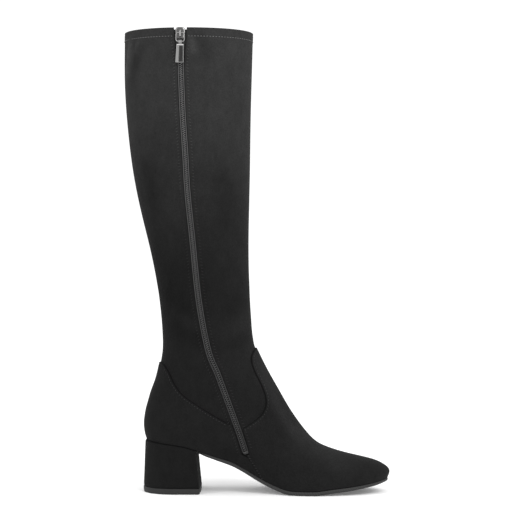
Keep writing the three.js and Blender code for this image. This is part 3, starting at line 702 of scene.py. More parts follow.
def moulded(name, level, roughness, pitch, tilt, depth):
    """Rubber with fine ribs this far apart, tilted in the side view."""
    look = Look(name, level, roughness)
    wave = look.add("TexWave")
    wave.bands_direction = "X"
    place = look.mapped({"Rotation": (0, math.radians(tilt), 0)})
    look.wire(wave, {"Vector": place, "Scale": 2 * math.pi / (20 * pitch), "Distortion": 0.6})
    ribs = wave.outputs["Fac"]
    look.tint(ribs, 0.78, 1.2, 0.2, 0.8)
    look.relief(ribs, 0.5, depth)
    look.relief(look.noise(700, 3), 0.15, 0.0002)
    return look.material


def metal(name, level, roughness):
    look = Look(name, level, roughness, {"Metallic": 1.0, "Base Color": grey(level, 0.01)})
    look.relief(look.noise(900, 3), 0.03, 0.0001)
    return look.material


SUEDE = suede("charcoal_suede", 0.011)
HEEL_COVER = suede("heel_cover", 0.0084)
LINING = cloth("black_lining", 0.032)
TAPE = cloth("zip_tape_weave", 0.038)
SHADOW_SHEET = cloth("zip_shadow_sheet", 0.009)
RIM = cloth("zip_rim", 0.048, 1400, True)
COIL = cloth("zip_coil", 0.09, 700, True)
THREADS = thread("sewing_thread", 0.028)
SOLE = moulded("sole_edge", 0.0125, 0.7, 2.3 * MM, 30, 0.0002)
TREAD = moulded("sole_tread", 0.014, 0.8, 3.4 * MM, 0, 0.0006)
LIFT = satin("heel_lift", 0.008, 0.75)
METAL = metal("satin_gunmetal", 0.27, 0.28)
# Lighter and darker copies of the same gunmetal: a painted highlight, painted shade in the tab's sunk field and
# painted shade on the slider's plates
HIGHLIGHT_METAL = metal("painted_highlight_gunmetal", 0.62, 0.2)
SHADED_RECESS_METAL = metal("shaded_recess_gunmetal", 0.035, 0.35)
SHADED_SLIDER_METAL = metal("shaded_slider_gunmetal", 0.11, 0.4)


# Soft folds of the shaft: each runs between two places in the side view, in
# millimetres from the heel and above the floor. side is -1 for the inner side, 1 for the
# outer and 0 for both.
FOLD_COLUMNS = ("side", "x0", "z0", "x1", "z1", "half_width", "height")
FOLDS = (
    (0, -11, 450, -15, 408, 2.0, 1.5),
    (0, -6, 450, -10, 396, 3.5, -0.6),
    (-1, -2, 447, -11, 428, 2, 0.8),
    (-1, 47, 450, 51, 430, 3, 0.7),
    (-1, 2, 444, -6, 412, 3.5, -0.5),
    (-1, 58, 448, 66, 424, 6, -0.45),
    (-1, 50, 446, 54, 430, 3, 0.35),
    (1, 40, 450, 34, 405, 8, -0.6),
    (0, 18, 200, 54, 172, 7, -0.45),
    (0, 22, 186, 60, 158, 7, 0.3),
    (0, 24, 170, 68, 144, 8, -0.45),
    (0, 106, 198, 84, 178, 7, -0.4),
    (0, 109, 178, 88, 158, 7, 0.35),
    (0, 108, 160, 84, 140, 7, -0.4),
    (-1, 36, 300, 30, 230, 10, 0.5),
    (-1, 78, 330, 82, 250, 12, -0.5),
    (1, 50, 320, 46, 240, 13, -0.6),
    (1, 80, 280, 84, 200, 11, 0.5),
    (0, 2, 330, 12, 280, 8, -0.6),
)


def folds(points):
    """Height of the folds over the plain form at each point."""
    x, y, z = (points[..., k] / MM for k in range(3))
    rise = np.zeros(x.shape)
    for row in FOLDS:
        fold = dict(zip(FOLD_COLUMNS, row))
        reach = np.array([fold["x1"] - fold["x0"], fold["z1"] - fold["z0"]], float)
        t = ((x - fold["x0"]) * reach[0] + (z - fold["z0"]) * reach[1]) / (reach @ reach)
        near = np.clip(t, 0, 1)
        gap = np.hypot(x - fold["x0"] - near * reach[0], z - fold["z0"] - near * reach[1])
        fade = np.exp(-np.maximum(0, np.abs(t - 0.5) * 2 - 0.35) ** 2 / 0.35)
        facing = smoothstep(y * fold["side"], -8, 14) if fold["side"] else 1.0
        rise += fold["height"] * np.exp(-(gap / fold["half_width"]) ** 2) * fade * facing
    sway = np.sin(x / 17 + z / 41 + y / 23) * np.sin(z / 29 - x / 37) * 0.12
    return (rise + sway) * MM


# A painted highlight along the vamp: a line in the side view, in millimetres
HIGHLIGHT_LINE = ((98, 150), (118, 116), (130, 92), (147, 62), (170, 46), (192, 34), (225, 26))
HIGHLIGHT_REACH = 11 * MM


def painted_lighting(points):
    """Painted light and shade of the suede at each point: lighter up the shaft, along its front and along the
    highlight line on the vamp, darker low on the shaft.
    """
    x, z = points[..., 0], points[..., 2]
    leg = smoothstep(z, 80 * MM, 170 * MM)
    up = smoothstep(z, 190 * MM, COLLAR_HEIGHT)
    shin, forefoot = smoothstep(x, 30 * MM, 100 * MM), smoothstep(x, 110 * MM, 200 * MM)
    nap_and_highlight = np.array(HIGHLIGHT_LINE) * MM
    beside_highlight = np.abs(z - np.interp(x, nap_and_highlight[:, 0], nap_and_highlight[:, 1]))
    on_vamp = smoothstep(x, 98 * MM, 125 * MM) * smoothstep(x, 228 * MM, 160 * MM)
    lit = bump_at(beside_highlight, 0, HIGHLIGHT_REACH) * on_vamp
    # Painted light and shade: lighter up the shaft, on the shin and forefoot and along the highlight line,
    # darker low on the shaft
    level = 0.86 + 1.3 * up + 0.3 * shin * leg + 0.14 * forefoot * (1 - leg) + 0.6 * lit
    return level * (1 - bump_at(z, 205 * MM, 85 * MM) * lerp(0.26, 0.17, shin))


# Grids over the form

def stations(length, step, fine, fine_low, fine_high):
    """Places along a length about a step apart, closer together at either end."""
    start, end = min(fine * fine_low, length / 3), min(fine * fine_high, length / 3)
    count = max(2, int((length - start - end) / step) + 2)
    parts = [np.linspace(start, length - end, count)]
    if fine_low:
        parts.insert(0, np.linspace(0, start, fine_low, endpoint=False))
    if fine_high:
        parts.append(length - np.linspace(0, end, fine_high, endpoint=False)[::-1])
    return np.concatenate(parts)


def row_levels(low, high, step, fine_low=0, fine_high=0, fine=0.4 * MM):
    """Levels about a step apart in height."""
    levels = np.linspace(low, high, 800)
    middle = (LEVEL["back_z"](levels) + LEVEL["front_z"](levels)) / 2
    height = middle - middle[0]
    return np.interp(stations(height[-1], step, fine, fine_low, fine_high), height, levels)


def row_turns(level, left, right, count, fine=0.35 * MM, fine_count=9):
    """Turns along one level from left to right, their distances along it, and its length."""
    turn = np.linspace(left, right, 240)
    line = bare(np.full(turn.shape, level), turn)
    length = np.concatenate([[0], np.cumsum(np.linalg.norm(np.diff(line, axis=0), axis=1))])
    near = min(fine * fine_count, length[-1] / 5)
    ends = np.linspace(0, near, fine_count, endpoint=False)
    middle = np.linspace(near, length[-1] - near, count - 2 * fine_count)
    at = np.concatenate([ends, middle, length[-1] - ends[::-1]])
    return np.interp(at, length, turn), at, length[-1]


def quarter_round(distance, radius):
    """Rises from 0 at an edge to 1 at the radius, as a quarter circle does."""
    return np.sqrt(np.clip(1 - (1 - np.minimum(distance / radius, 1)) ** 2, 0, 1))


# Upper: cloth outside, lining inside, joined round the collar and the slot

SHAFT_COUNT = 276
# Painted light and shade on the folds: ridges lighter, hollows darker, by this share for each millimetre
FOLD_PAINTED_SHADE = 0.42
HEM_RISE = 0.2 * MM
FLANK_INSET = 3.2 * MM
FLANK_RISE = 0.04 * MM


def upper():
    rear, fore = edge_turn(slot_edge(-1)), edge_turn(slot_edge(1))
    seam = edge_turn(on_foot(SIDE_SEAM))
    closed = row_levels(0, ZIP_END, 4 * MM)
    levels = np.concatenate([closed, row_levels(ZIP_END + 0.02, TOP, 3.1 * MM, 0, 34, 0.45 * MM)])
    half = UPPER_WALL / 2
    outer, inner, shades = [], [], []
    for row, level in enumerate(levels):
        slotted = row >= len(closed)
        left = float(fore(level)) if slotted else float(seam(level))
        right = 2 + (float(rear(level)) if slotted else float(seam(level)))
        turns, at, length = row_turns(level, left, right, SHAFT_COUNT)
        rim = np.minimum(at, length - at) if slotted else np.full(len(at), FOOT_LENGTH)
        points = bare(np.full(turns.shape, level), turns)
        down = COLLAR_HEIGHT - points[:, 2]
        edge = quarter_round(rim, half) * quarter_round(down, half)
        hem = HEM_RISE * smoothstep(HEM_DEPTH + 1.2 * MM - down, 0, 1.0 * MM)
        turned = HEM_RISE * smoothstep(4.2 * MM - rim, 0, 1.2 * MM)
        seams = 0.12 * bump_at(down, HEM_DEPTH, 0.7 * MM) + 0.2 * bump_at(down, 2.2 * MM, 0.5 * MM)
        flank = 0.28 * bump_at(rim, FLANK_INSET, 0.75 * MM)
        soft = folds(points) * smoothstep(down, 0, 9 * MM)
        detail = (hem + turned - (seams + flank) * MM) * edge
        normal = outward(np.full(turns.shape, level), turns)
        middle = points - normal * half
        outer.append(middle + normal * (half * edge + detail + soft)[:, None])
        inner.append(middle - normal * (half * edge - soft * 0.8)[:, None])
        # Painted light and shade: the suede's painted lighting, fold ridges lighter and hollows darker, and
        # painted shade on the rounded collar and slot edges
        shades.append(painted_lighting(points) * (1 + FOLD_PAINTED_SHADE * soft / MM) * lerp(0.6, 1, edge))
    skin, cover = lattice(np.array(outer)), lattice(np.array(inner))
    part = joined([skin, (cover[0], cover[1][:, ::-1])])
    marks = [0] * len(skin[1]) + [1] * len(cover[1])
    shade = np.concatenate([np.concatenate(shades)] * 2)
    piece("shaft_cloth", part, SUEDE, LINING, stands_for=("upper",), slot="suede", marks=marks, shade=shade)


# Panels over the upper: sheets between two edges at each level, skived down at their rim

RIM_WIDTH = 1.3 * MM


def edge_tree(curves):
    points = np.vstack([spaced(curve, 0.3 * MM) for curve in curves])
    tree = KDTree(len(points))
    for i, point in enumerate(points):
        tree.insert(point, i)
    tree.balance()
    return tree


def gaps(points, curves):
    """Distance from each point to the nearest of the curves."""
    tree = edge_tree(curves)
    return np.array([tree.find(point)[2] for point in points.reshape(-1, 3)]).reshape(points.shape[:2])


def panel(name, left, right, top, count, near, border_height):
    """A sheet between two edges; near is the column along the slot."""
    levels = row_levels(0, top, 0.95 * MM, 6, 10, 0.35 * MM)
    turn = np.array([row_turns(at, float(left(at)), float(right(at)), count)[0] for at in levels])
    level = np.repeat(levels[:, None], count, axis=1)
    plain = form(level, turn)
    slot, far = plain[:, near], plain[:, -1 - near]
    border = [slot[slot[:, 2] > border_height], far[far[:, 2] > border_height], plain[-1]]
    beside_zip = [slot[(levels > ZIP_END) & (slot[:, 2] <= border_height + 1 * MM)]]
    sewn = [slot[levels <= ZIP_END + 0.05], far[far[:, 2] <= border_height]]
    edge, slit, seam = gaps(plain, border), gaps(plain, beside_zip), gaps(plain, sewn)
    gap = np.minimum(edge, slit)
    rise = smoothstep(gap, 0, RIM_WIDTH) * lerp(0.92, 1, smoothstep(seam, 0, 0.5 * MM))
    groove = bump_at(edge, STITCH_INSET, 0.5 * MM)
    lift = (GAP + PANEL_THICKNESS) * rise - 0.25 * MM * groove - 0.2 * MM * (1 - rise)
    points = form(level, turn, lift + folds(plain) * 0.4)
    # Painted shadow: darker along the panel's free rims, beside the zip and where the panel meets the sole
    shade = painted_lighting(plain) * lerp(0.48, 1, smoothstep(edge, 0.9 * MM, 1.5 * MM))
    shade *= lerp(0.6, 1, smoothstep(slit, 0.6 * MM, 1.3 * MM))
    shade *= lerp(0.4, 1, smoothstep(plain[..., 2] - feather(plain[..., 0]), 0.1 * MM, 0.8 * MM))
    under = []
    for inset, drop in ((0.4, 0.12), (1.4, 0.25), (4.5, 0.28)):
        ring = form(level[0], turn[0], lift[0] - inset * MM)
        ring[:, 2] = feather(ring[:, 0]) - drop * MM
        under.insert(0, ring)
    points = np.concatenate([np.array(under), points])
    # Painted shade under the panel's turned-in lower edge
    shade = np.concatenate([np.repeat(shade[:1] * 0.6, len(under), axis=0), shade])
    piece(name + "_suede", lattice(points), SUEDE, stands_for=(name,), slot="suede", shade=shade.ravel())


SLIT = 0.1 * MM


def panel_edge(side, border, half, widen):
    """Levels and turns of a panel's edge: up the side seam, the slot and then the border."""
    seam = spaced(on_foot(SIDE_SEAM)[::-1], 1 * MM) + [side * SLIT, 0]
    slot = slot_edge(side, half, widen)
    slot = slot[slot[:, 1] < border[0, 1] - 1.2 * MM]
    low_level, low_turn = locate(seam[:, 0], seam[:, 1])
    level, turn = locate(*np.vstack([slot, border]).T)
    climbing = np.concatenate([[True], level[1:] > np.maximum.accumulate(level)[:-1]])
    below = low_level < level[0] - 0.02
    levels = np.concatenate([low_level[below], level[climbing]])
    return levels, np.concatenate([low_turn[below], turn[climbing]])


VAMP_BORDER = through(on_foot(VAMP_EDGE))
QUARTER_BORDER = through(on_foot(QUARTER_EDGE))[::-1]


def vamp():
    level, turn = panel_edge(1, VAMP_BORDER, SLOT_HALF, 1)
    far_level, far_turn = panel_edge(1, VAMP_BORDER, SLIT, 0)
    high = level > ZIP_END + 4
    top = float(np.interp(0.985, turn[high], level[high]))
    left = lambda at: np.interp(at, level, turn)
    right = lambda at: 2 - np.interp(at, far_level, far_turn)
    panel("vamp", left, right, top, 330, 0, VAMP_BORDER[0, 1])


def quarter():
    level, turn = panel_edge(-1, QUARTER_BORDER, SLOT_HALF, 1)
    far_level, far_turn = panel_edge(-1, QUARTER_BORDER, SLIT, 0)
    late = turn < 0.2
    top = float(np.interp(-0.06, -turn[late], level[late]))
    left = lambda at: -np.interp(at, far_level, far_turn)
    right = lambda at: np.interp(at, level, turn)
    panel("quarter", left, right, top, 250, -1, QUARTER_BORDER[0, 1])


# Sole, heel, lift and insole, from rings along the feather line

ROUND_COUNT = 260
ROUND_TURNS = np.arange(ROUND_COUNT) * 2 / ROUND_COUNT
LID_COLUMNS = 14
WELD = 0.001 * MM


def sole_ring(grow, height):
    """A ring along the feather line: how far out it lies, and how high, both by x."""
    level = np.zeros(ROUND_COUNT)
    base = bare(level, ROUND_TURNS)
    moved = base + outward(level, ROUND_TURNS) * grow(base[:, 0])[:, None]
    moved[:, 2] = height(moved[:, 0])
    return moved


def lid(ring, height=None, up=True):
    """Surface across a ring, whose points lie in pairs on the two sides."""
    half = len(ring) // 2
    near = ring[:half + 1]
    far = ring[(-np.arange(half + 1)) % len(ring)]
    t = np.linspace(0, 1, LID_COLUMNS)[None, :, None]
    grid = near[:, None] * (1 - t) + far[:, None] * t
    if height is not None:
        grid[..., 2] = height(grid[..., 0])
    points, faces = lattice(grid)
    return points, faces if up else faces[:, ::-1]


def stack(rings):
    return lattice(np.array(rings), closed=True)


def capped(rings):
    """Rings closed below and above."""
    return joined([stack(rings), lid(rings[0]), lid(rings[-1], up=False)])


def sole_edge(x):
    return lerp(-HEEL_TUCK, SOLE_EDGE, smoothstep(x, HEEL_LENGTH - 1 * MM, HEEL_LENGTH + 5 * MM))


def outsole():
    low_round, rise = 2.6 * MM, 1.7 * MM
    rows = [sole_ring(lambda x: sole_edge(x) - 9 * MM, sole_under)]
    for angle in np.arange(7) / 6 * math.pi / 2:
        inset, lift = low_round * (1 - math.sin(angle)), rise * (1 - math.cos(angle))
        rows.append(sole_ring(lambda x: sole_edge(x) - inset, lambda x: sole_under(x) + lift))
    top = lambda x: np.maximum(feather(x) - GAP, sole_under(x) + rise + 0.2 * MM)
    rows.append(sole_ring(lambda x: sole_edge(x) - 0.05 * MM, lambda x: top(x) - 0.35 * MM))
    for inset in (0.35 * MM, 6 * MM):
        rows.append(sole_ring(lambda x: sole_edge(x) - inset, top))
    parts = [stack(rows), lid(rows[0], sole_under), lid(rows[-1], top, up=False)]
    marks = [mark for mark, (_, faces) in zip((0, 1, 0), parts) for _ in faces]
    piece("outsole_edge", joined(parts), SOLE, TREAD, stands_for=("outsole",), slot="sole", marks=marks,
          merge=WELD)


HEEL_BACK_ROUND = 0.55
HEEL_CORNER = 0.03
BREAST_LEAN = 2 * MM


def heel_ring(grow, front, half, height):
    """A round back and a straight breast, as the solid's heel has."""
    across = (1 - np.cos(np.pi * ROUND_TURNS)) / 2
    x = lerp(-grow, front + grow, across)
    side = np.where(ROUND_TURNS < 1, -1, 1)
    rear = ending(across / HEEL_BACK_ROUND, SHAFT_ROUNDNESS)
    fore = ending((1 - across) / HEEL_CORNER, TOE_ROUNDNESS)
    return np.stack([x, side * (half + grow) * rear * fore, height(x)], -1)


LIFT_TOP = LIFT_THICKNESS + 0.1 * MM
SEAT_ROLL = 0.8 * MM
FOOT_ROLL = 0.5 * MM


def heel_block():
    lean = FEATHER_START - GAP - PANEL_THICKNESS - HEEL_LEDGE
    seat_half = LEVEL["heel"](0.0) + GAP + PANEL_THICKNESS
    seat = lambda x: feather(np.maximum(x, FEATHER_START)) - GAP
    rows = []
    for t in np.concatenate([np.linspace(0, 0.96, 28), [0.98, 0.99, 1.0]]):
        roll = SEAT_ROLL * (1 - quarter_round(1 - t, 0.04)) + FOOT_ROLL * (1 - quarter_round(t, 0.03))
        half = lerp(HEEL_WIDTH / 2, seat_half + lean, t)
        front = HEEL_LENGTH - BREAST_LEAN * t
        rows.append(heel_ring(-lean * t - roll, front, half, lambda x: lerp(LIFT_TOP, seat(x), t)))
    part = capped(rows)
    gap = seat(part[0][:, 0]) - part[0][:, 2]
    # Painted shade: darker just below the seat, where the heel meets the upper
    shade = lerp(0.45, 1, smoothstep(gap, 0.3 * MM, 1.0 * MM))
    piece("heel_suede", part, HEEL_COVER, stands_for=("heel_block",), slot="heel_cover", shade=shade,
          merge=WELD)


# Side of the lift, in millimetres: how far out it lies, and how high
LIFT_PROFILE = (
    (-2.0, 0.0), (-1.0, 0.0), (-0.5, 0.15), (-0.15, 0.5), (0.05, 1.0), (0.15, 2.0), (0.2, 3.6), (0.15, 5.0),
    (-0.1, 5.5), (-0.9, 5.6),
)


def top_lift():
    rows = [heel_ring(grow * MM, HEEL_LENGTH, HEEL_WIDTH / 2, lambda x: np.full(x.shape, z * MM))
            for grow, z in LIFT_PROFILE]
    piece("lift_rubber", capped(rows), LIFT, stands_for=("top_lift",), slot="lift", merge=WELD)


# Side of the insole: its level on the upper, and how far in it lies in millimetres
INSOLE_PROFILE = ((0.35, 0.6), (0.45, 0.15), (0.75, 0.0), (0.95, 0.1), (1.05, 0.7), (1.08, 3.0))


def insole():
    inside = -UPPER_WALL - GAP
    rows = [form(level, ROUND_TURNS, inside - inset * MM) for level, inset in INSOLE_PROFILE]
    piece("insole_sock", capped(rows), LINING, stands_for=("insole",), slot="lining", merge=WELD)


# Zip: woven tape, two cords with a coil between them, slider, link and tab

slider_low, slider_high = (np.array(corner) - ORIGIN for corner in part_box("zip_slider"))
NECK_HEIGHT = (slider_low[2] + slider_high[2]) / 2
NECK_ALONG = (slider_low[0] + slider_high[0]) / 2
SLIDER_WIDTH = slider_high[0] - slider_low[0]
SLIDER_LENGTH = slider_high[2] - slider_low[2]
CHAIN_STOP = zip_height_station(NECK_HEIGHT - 2 * MM)


TAPE_DROP = 2 * MM


def zip_tape():
    top = zip_height_station(COLLAR_HEIGHT - TAPE_DROP)
    station = np.linspace(-4 * MM, top, int(top / (2 * MM)))
    aside = np.linspace(-TAPE_WIDTH / 2, TAPE_WIDTH / 2, 19)
    grid_station, grid_aside = np.meshgrid(station, aside, indexing="ij")
    front = zip_point(grid_station, grid_aside, -UPPER_WALL - 0.2 * MM)
    back = zip_point(grid_station, grid_aside, -UPPER_WALL - GAP - TAPE_THICKNESS)
    ribbon = np.concatenate([front, back[:, ::-1]], axis=1)
    piece("tape_weave", lattice(ribbon, closed=True), TAPE, stands_for=("zip_tape",), slot="tape")


CORD_RADIUS = 0.52 * MM
CORD_INSET = 0.62 * MM
CORD_DEPTH = 0.95 * MM
SHADOW_SHEET_HALF = 2.8 * MM
SHADOW_SHEET_DEPTH = 1.3 * MM
COIL_PITCH = 2.1 * MM
TOOTH_ROOT = 1.3 * MM
TOOTH_TIP = 0.05 * MM
TOOTH_RADIUS = 0.4 * MM
CHAIN_START = -2.3 * MM


def zip_piece(name, parts, material, stands_for=()):
    """A piece of the zip, with painted light: lighter towards the collar."""
    part = joined(parts)
    shade = 0.75 + 0.85 * smoothstep(part[0][:, 2], 60 * MM, COLLAR_HEIGHT)
    piece(name, part, material, stands_for=stands_for, slot="teeth", shade=shade)


def zip_chain():
    station = np.arange(CHAIN_START, CHAIN_STOP, 1.2 * MM)
    aside = CHAIN_WIDTH / 2 - CORD_INSET
    parts = [tube(zip_point(station, side * aside, -CORD_DEPTH), CORD_RADIUS, 10) for side in (-1, 1)]
    zip_piece("zip_cords", parts, RIM, ("zip_chain",))
    # A dark sheet under the coil: painted shade that shows between the teeth
    base = [zip_point(station, aside, -SHADOW_SHEET_DEPTH) for aside in (-SHADOW_SHEET_HALF, 0, SHADOW_SHEET_HALF)]
    piece("zip_shadow_sheet", lattice(np.stack(base, axis=1)), SHADOW_SHEET, slot="teeth")
    station = np.arange(CHAIN_START + 0.8 * MM, CHAIN_STOP, COIL_PITCH)
    normal = outward(*locate(*zip_side(station, np.zeros(len(station))).T))
    teeth = []
    for side, shift in ((-1, 0.0), (1, COIL_PITCH / 2)):
        root = zip_point(station + shift, side * TOOTH_ROOT, -0.8 * MM)
        tip = zip_point(station + shift + 0.8 * MM, side * TOOTH_TIP, -0.62 * MM)
        length = float(np.linalg.norm(tip - root, axis=1).mean()) + 0.5 * MM
        teeth.append(beads((root + tip) / 2, tip - root, normal, length, TOOTH_RADIUS, 0.12 * MM))
    zip_piece("zip_coil", teeth, COIL)
    across = np.linspace(-1, 1, 11)
    arcs = []
    for station, reach, bow in ((-1.7, 2.5, 0.9), (-0.5, 2.2, 0.8)):
        low = zip_point((station - bow * (1 - across ** 2)) * MM, across * reach * MM, -0.35 * MM)
        arcs.append(tube(low, 0.42 * MM, 10))
    zip_piece("zip_stop", arcs, COIL)


def shield(width, length, foot=0.38, shoulder=0.12, head=0.2, steps=10):
    """Outline of the slider's plates, counter-clockwise from the camera."""
    t = np.linspace(0, 1, steps)[1:, None]
    corner = lambda a, b, c: (1 - t) ** 2 * np.array(a) + 2 * t * (1 - t) * np.array(b) + t * t * np.array(c)
    half, top = width / 2, length / 2
    right = [(foot * width, -top), (half, shoulder * length)]
    over_right = corner(right[1], (half, top), (head * width, top))
    over_left = corner((-head * width, top), (-half, top), (-half, shoulder * length))
    return np.vstack([[(-foot * width, -top)], right, over_right, [(-head * width, top)], over_left])


PLATE = 1.6 * MM
PLATE_OUT = GAP + PLATE
RING_WIRE = 1.1 * MM
AXIS_OUT = PLATE_OUT + GAP + RING_WIRE / 2
BRIDGE_WALL = 1.1 * MM
BRIDGE_OUT = AXIS_OUT + RING_WIRE / 2 + GAP + BRIDGE_WALL
SLIDER_FACE = slider_low[1] + BRIDGE_OUT
INSIDE = UPPER_WALL + 2 * GAP + TAPE_THICKNESS + 0.5 * MM


def slider():
    place = (NECK_ALONG, SLIDER_FACE, NECK_HEIGHT)
    outline = shield(SLIDER_WIDTH, SLIDER_LENGTH)
    plates = [prism(outline, -PLATE_OUT, -GAP, 0.45 * MM), prism(outline, INSIDE, INSIDE + PLATE, 0.4 * MM)]
    block = np.array([(-1.1, 0), (1.1, 0), (1.1, 3.4), (-1.1, 3.4)]) * MM
    plates.append(prism(block, -GAP - 0.3 * MM, INSIDE + 0.3 * MM, 0.15 * MM))
    edge = outline[outline[:, 0] > 0.3 * SLIDER_WIDTH] * [0.82, 0.86]
    rails = []
    for side in (-1, 1):
        path = np.stack([edge[:, 0] * side, np.full(len(edge), -PLATE_OUT + 0.05 * MM), edge[:, 1]], -1)
        rails.append(tube(spaced(path, 0.5 * MM), 0.5 * MM, 10))
    low, high = -0.4 * SLIDER_LENGTH + 0.55 * MM, 0.3 * SLIDER_LENGTH - 0.55 * MM
    near, out = -PLATE_OUT + 0.5 * MM, -BRIDGE_OUT + BRIDGE_WALL / 2
    corners = through([(near, low), (-AXIS_OUT, low), (out, low + 1.1 * MM), (out, 0), (out, high - 1.4 * MM),
                       (-AXIS_OUT + 0.3 * MM, high), (near, high)], 8)
    spine = np.stack([np.zeros(len(corners)), corners[:, 0], corners[:, 1]], -1)
    arch = tube(spine, 0.55 * MM, 16, normal=(1, 0, 0))
    rails.append((arch[0] * [1.8, 1, 1], arch[1]))
    parts = plates + rails
    # The plates and the block take the darker copy as painted shade; the right rail takes the lighter copy as a
    # painted highlight
    metal_shading = [0, 0, 0, 1, 2, 1]
    marks = [mark for mark, (_, faces) in zip(metal_shading, parts) for _ in faces]
    piece("slider_body", placed(joined(parts), place), SHADED_SLIDER_METAL, METAL, HIGHLIGHT_METAL,
          stands_for=("zip_slider",), slot="metal", marks=marks, sharp=50)


RING_WIDTH = 9.2 * MM
RING_LENGTH = 9.6 * MM
LINK_REACH = RING_LENGTH - RING_WIRE


def link():
    half, low, high = (RING_WIDTH - RING_WIRE) / 2, -LINK_REACH, 0.0
    corner = 2.1 * MM
    angle = np.linspace(0, np.pi / 2, 9)
    path = []
    for x, z, start in ((half, low, -1), (half, high, 0), (-half, high, 1), (-half, low, 2)):
        centre = np.array([x - math.copysign(corner, x), z + (corner if z == low else -corner)])
        turn = angle + start * np.pi / 2
        path += [(centre[0] + corner * math.cos(a), 0, centre[1] + corner * math.sin(a)) for a in turn]
    part = tube(np.array(path), RING_WIRE / 2, 14, closed=True)
    place = (NECK_ALONG, SLIDER_FACE - AXIS_OUT, NECK_HEIGHT)
    piece("link_wire", placed(part, place), METAL, body="ring", stands_for=("zip_ring",), slot="metal")


TAB_LENGTH = 20.5 * MM
TAB_TOP = 2.6 * MM
TAB_THICKNESS = 1.2 * MM


def rounded_outline(corners, radius, steps=5):
    """A polygon with its corners rounded, counter-clockwise."""
    corners = np.array(corners, float)
    made = []
    for before, here, after in zip(np.roll(corners, 1, axis=0), corners, np.roll(corners, -1, axis=0)):
        start, end = here + unit(before - here) * radius, here + unit(after - here) * radius
        for t in np.linspace(0, 1, steps):
            made.append((1 - t) ** 2 * start + 2 * t * (1 - t) * here + t * t * end)
    return np.array(made)


def tab():
    wide, slim, right = 4.7 * MM, 3.6 * MM, 3.4 * MM
    outline = [(-wide, -TAB_LENGTH), (right, -TAB_LENGTH), (right, -TAB_TOP), (-slim, -TAB_TOP)]
    rim = 0.5 * MM
    field = [(-1.9 * MM, -TAB_LENGTH + rim), (right - rim, -TAB_LENGTH + rim),
             (right - rim, -TAB_TOP - 1.2 * MM), (-1.2 * MM, -TAB_TOP - 1.2 * MM)]
    face, back = -TAB_THICKNESS / 2, TAB_THICKNESS / 2
    outer, inner = rounded_outline(outline, 0.9 * MM, 8), rounded_outline(field, 0.5 * MM, 8)
    depths = ((inner, face + 0.5 * MM, 0.3), (inner, face + 0.35 * MM, 0.1), (inner, face + 0.08 * MM, 0.0),
              (inner, face, -0.12), (outer, face, 0.35), (outer, face + 0.06 * MM, 0.15),
              (outer, face + 0.25 * MM, 0.0), (outer, back - 0.25 * MM, 0.0), (outer, back, 0.3))
    front = plate([(ring, depth, inset * MM) for ring, depth, inset in depths])
    # The sunk field's floor takes the darker copy of the gunmetal, as painted shade
    marks = [0] * (len(front[1]) - 2) + [1, 0]
    bore = RING_WIRE / 2 * math.sqrt(2) + GAP
    side = [(bore, 1.7), (bore + 0.15 * MM, 1.7), (bore + 0.6 * MM, 1.7), (bore + 0.8 * MM, 1.5)]
    profile = [(bore, -1.7)] + side + [(radius, -x) for radius, x in side[::-1]]
    angle = np.linspace(0, 2 * np.pi, 28, endpoint=False)
    knuckle = stack([np.stack([np.full(len(angle), x * MM), radius * np.sin(angle), radius * np.cos(angle)], -1)
                     for radius, x in profile])
    throat = np.array([(-1.7, -3.4), (1.7, -3.4), (1.7, -1.5), (-1.7, -1.5)]) * MM
    neck = prism(throat, -0.5 * MM, 0.5 * MM, 0.15 * MM)
    head = np.linspace(-slim + 0.35 * MM, slim - 0.35 * MM, 9)
    bar = tube([(x, face + 0.1 * MM, -TAB_TOP - 0.55 * MM) for x in head], 0.5 * MM, 12)
    part = joined([front, knuckle, neck, bar])
    # The bar across the tab's head takes the lighter copy, as a painted highlight
    marks += [0] * (len(knuckle[1]) + len(neck[1])) + [2] * len(bar[1])
    place = (NECK_ALONG, SLIDER_FACE - AXIS_OUT, NECK_HEIGHT - LINK_REACH)
    piece("tab_plate", placed(part, place), METAL, SHADED_RECESS_METAL, HIGHLIGHT_METAL, body="tab",
          stands_for=("zip_tab",), slot="metal", marks=marks, sharp=40)


# Stitches

def stitched(level, turn, out, pitch=STITCH_PITCH, length=STITCH_LENGTH, lean=0.0, radius=THREAD):
    """Bars of thread along a curve given by level and turn."""
    line = form(level, turn, out)
    reach = np.concatenate([[0], np.cumsum(np.linalg.norm(np.diff(line, axis=0), axis=1))])
    at = np.arange(pitch / 2, reach[-1], pitch)
    pick = lambda values: np.interp(at, reach, values)
    level_at, turn_at, out_at = pick(level), pick(turn), pick(np.broadcast_to(out, level.shape))
    centre = form(level_at, turn_at, out_at)
    along = unit(np.stack([np.interp(at, reach, np.gradient(line[:, k], reach)) for k in range(3)], -1))
    normal = outward(level_at, turn_at)
    tilted = along * math.cos(lean) + np.cross(normal, along) * math.sin(lean)
    return beads(centre, tilted, normal, length, radius, 0.06 * MM)


def beside(curve, aside):
    """A side-view curve moved to its right, seen from its start."""
    tangent = unit(np.gradient(curve, axis=0))
    return curve + np.stack([tangent[:, 1], -tangent[:, 0]], -1) * aside


def on_both(curve, out, **more):
    level, turn = locate(curve[:, 0], curve[:, 1])
    return [stitched(level, turn, out, **more), stitched(level, 2 - turn, out, **more)]


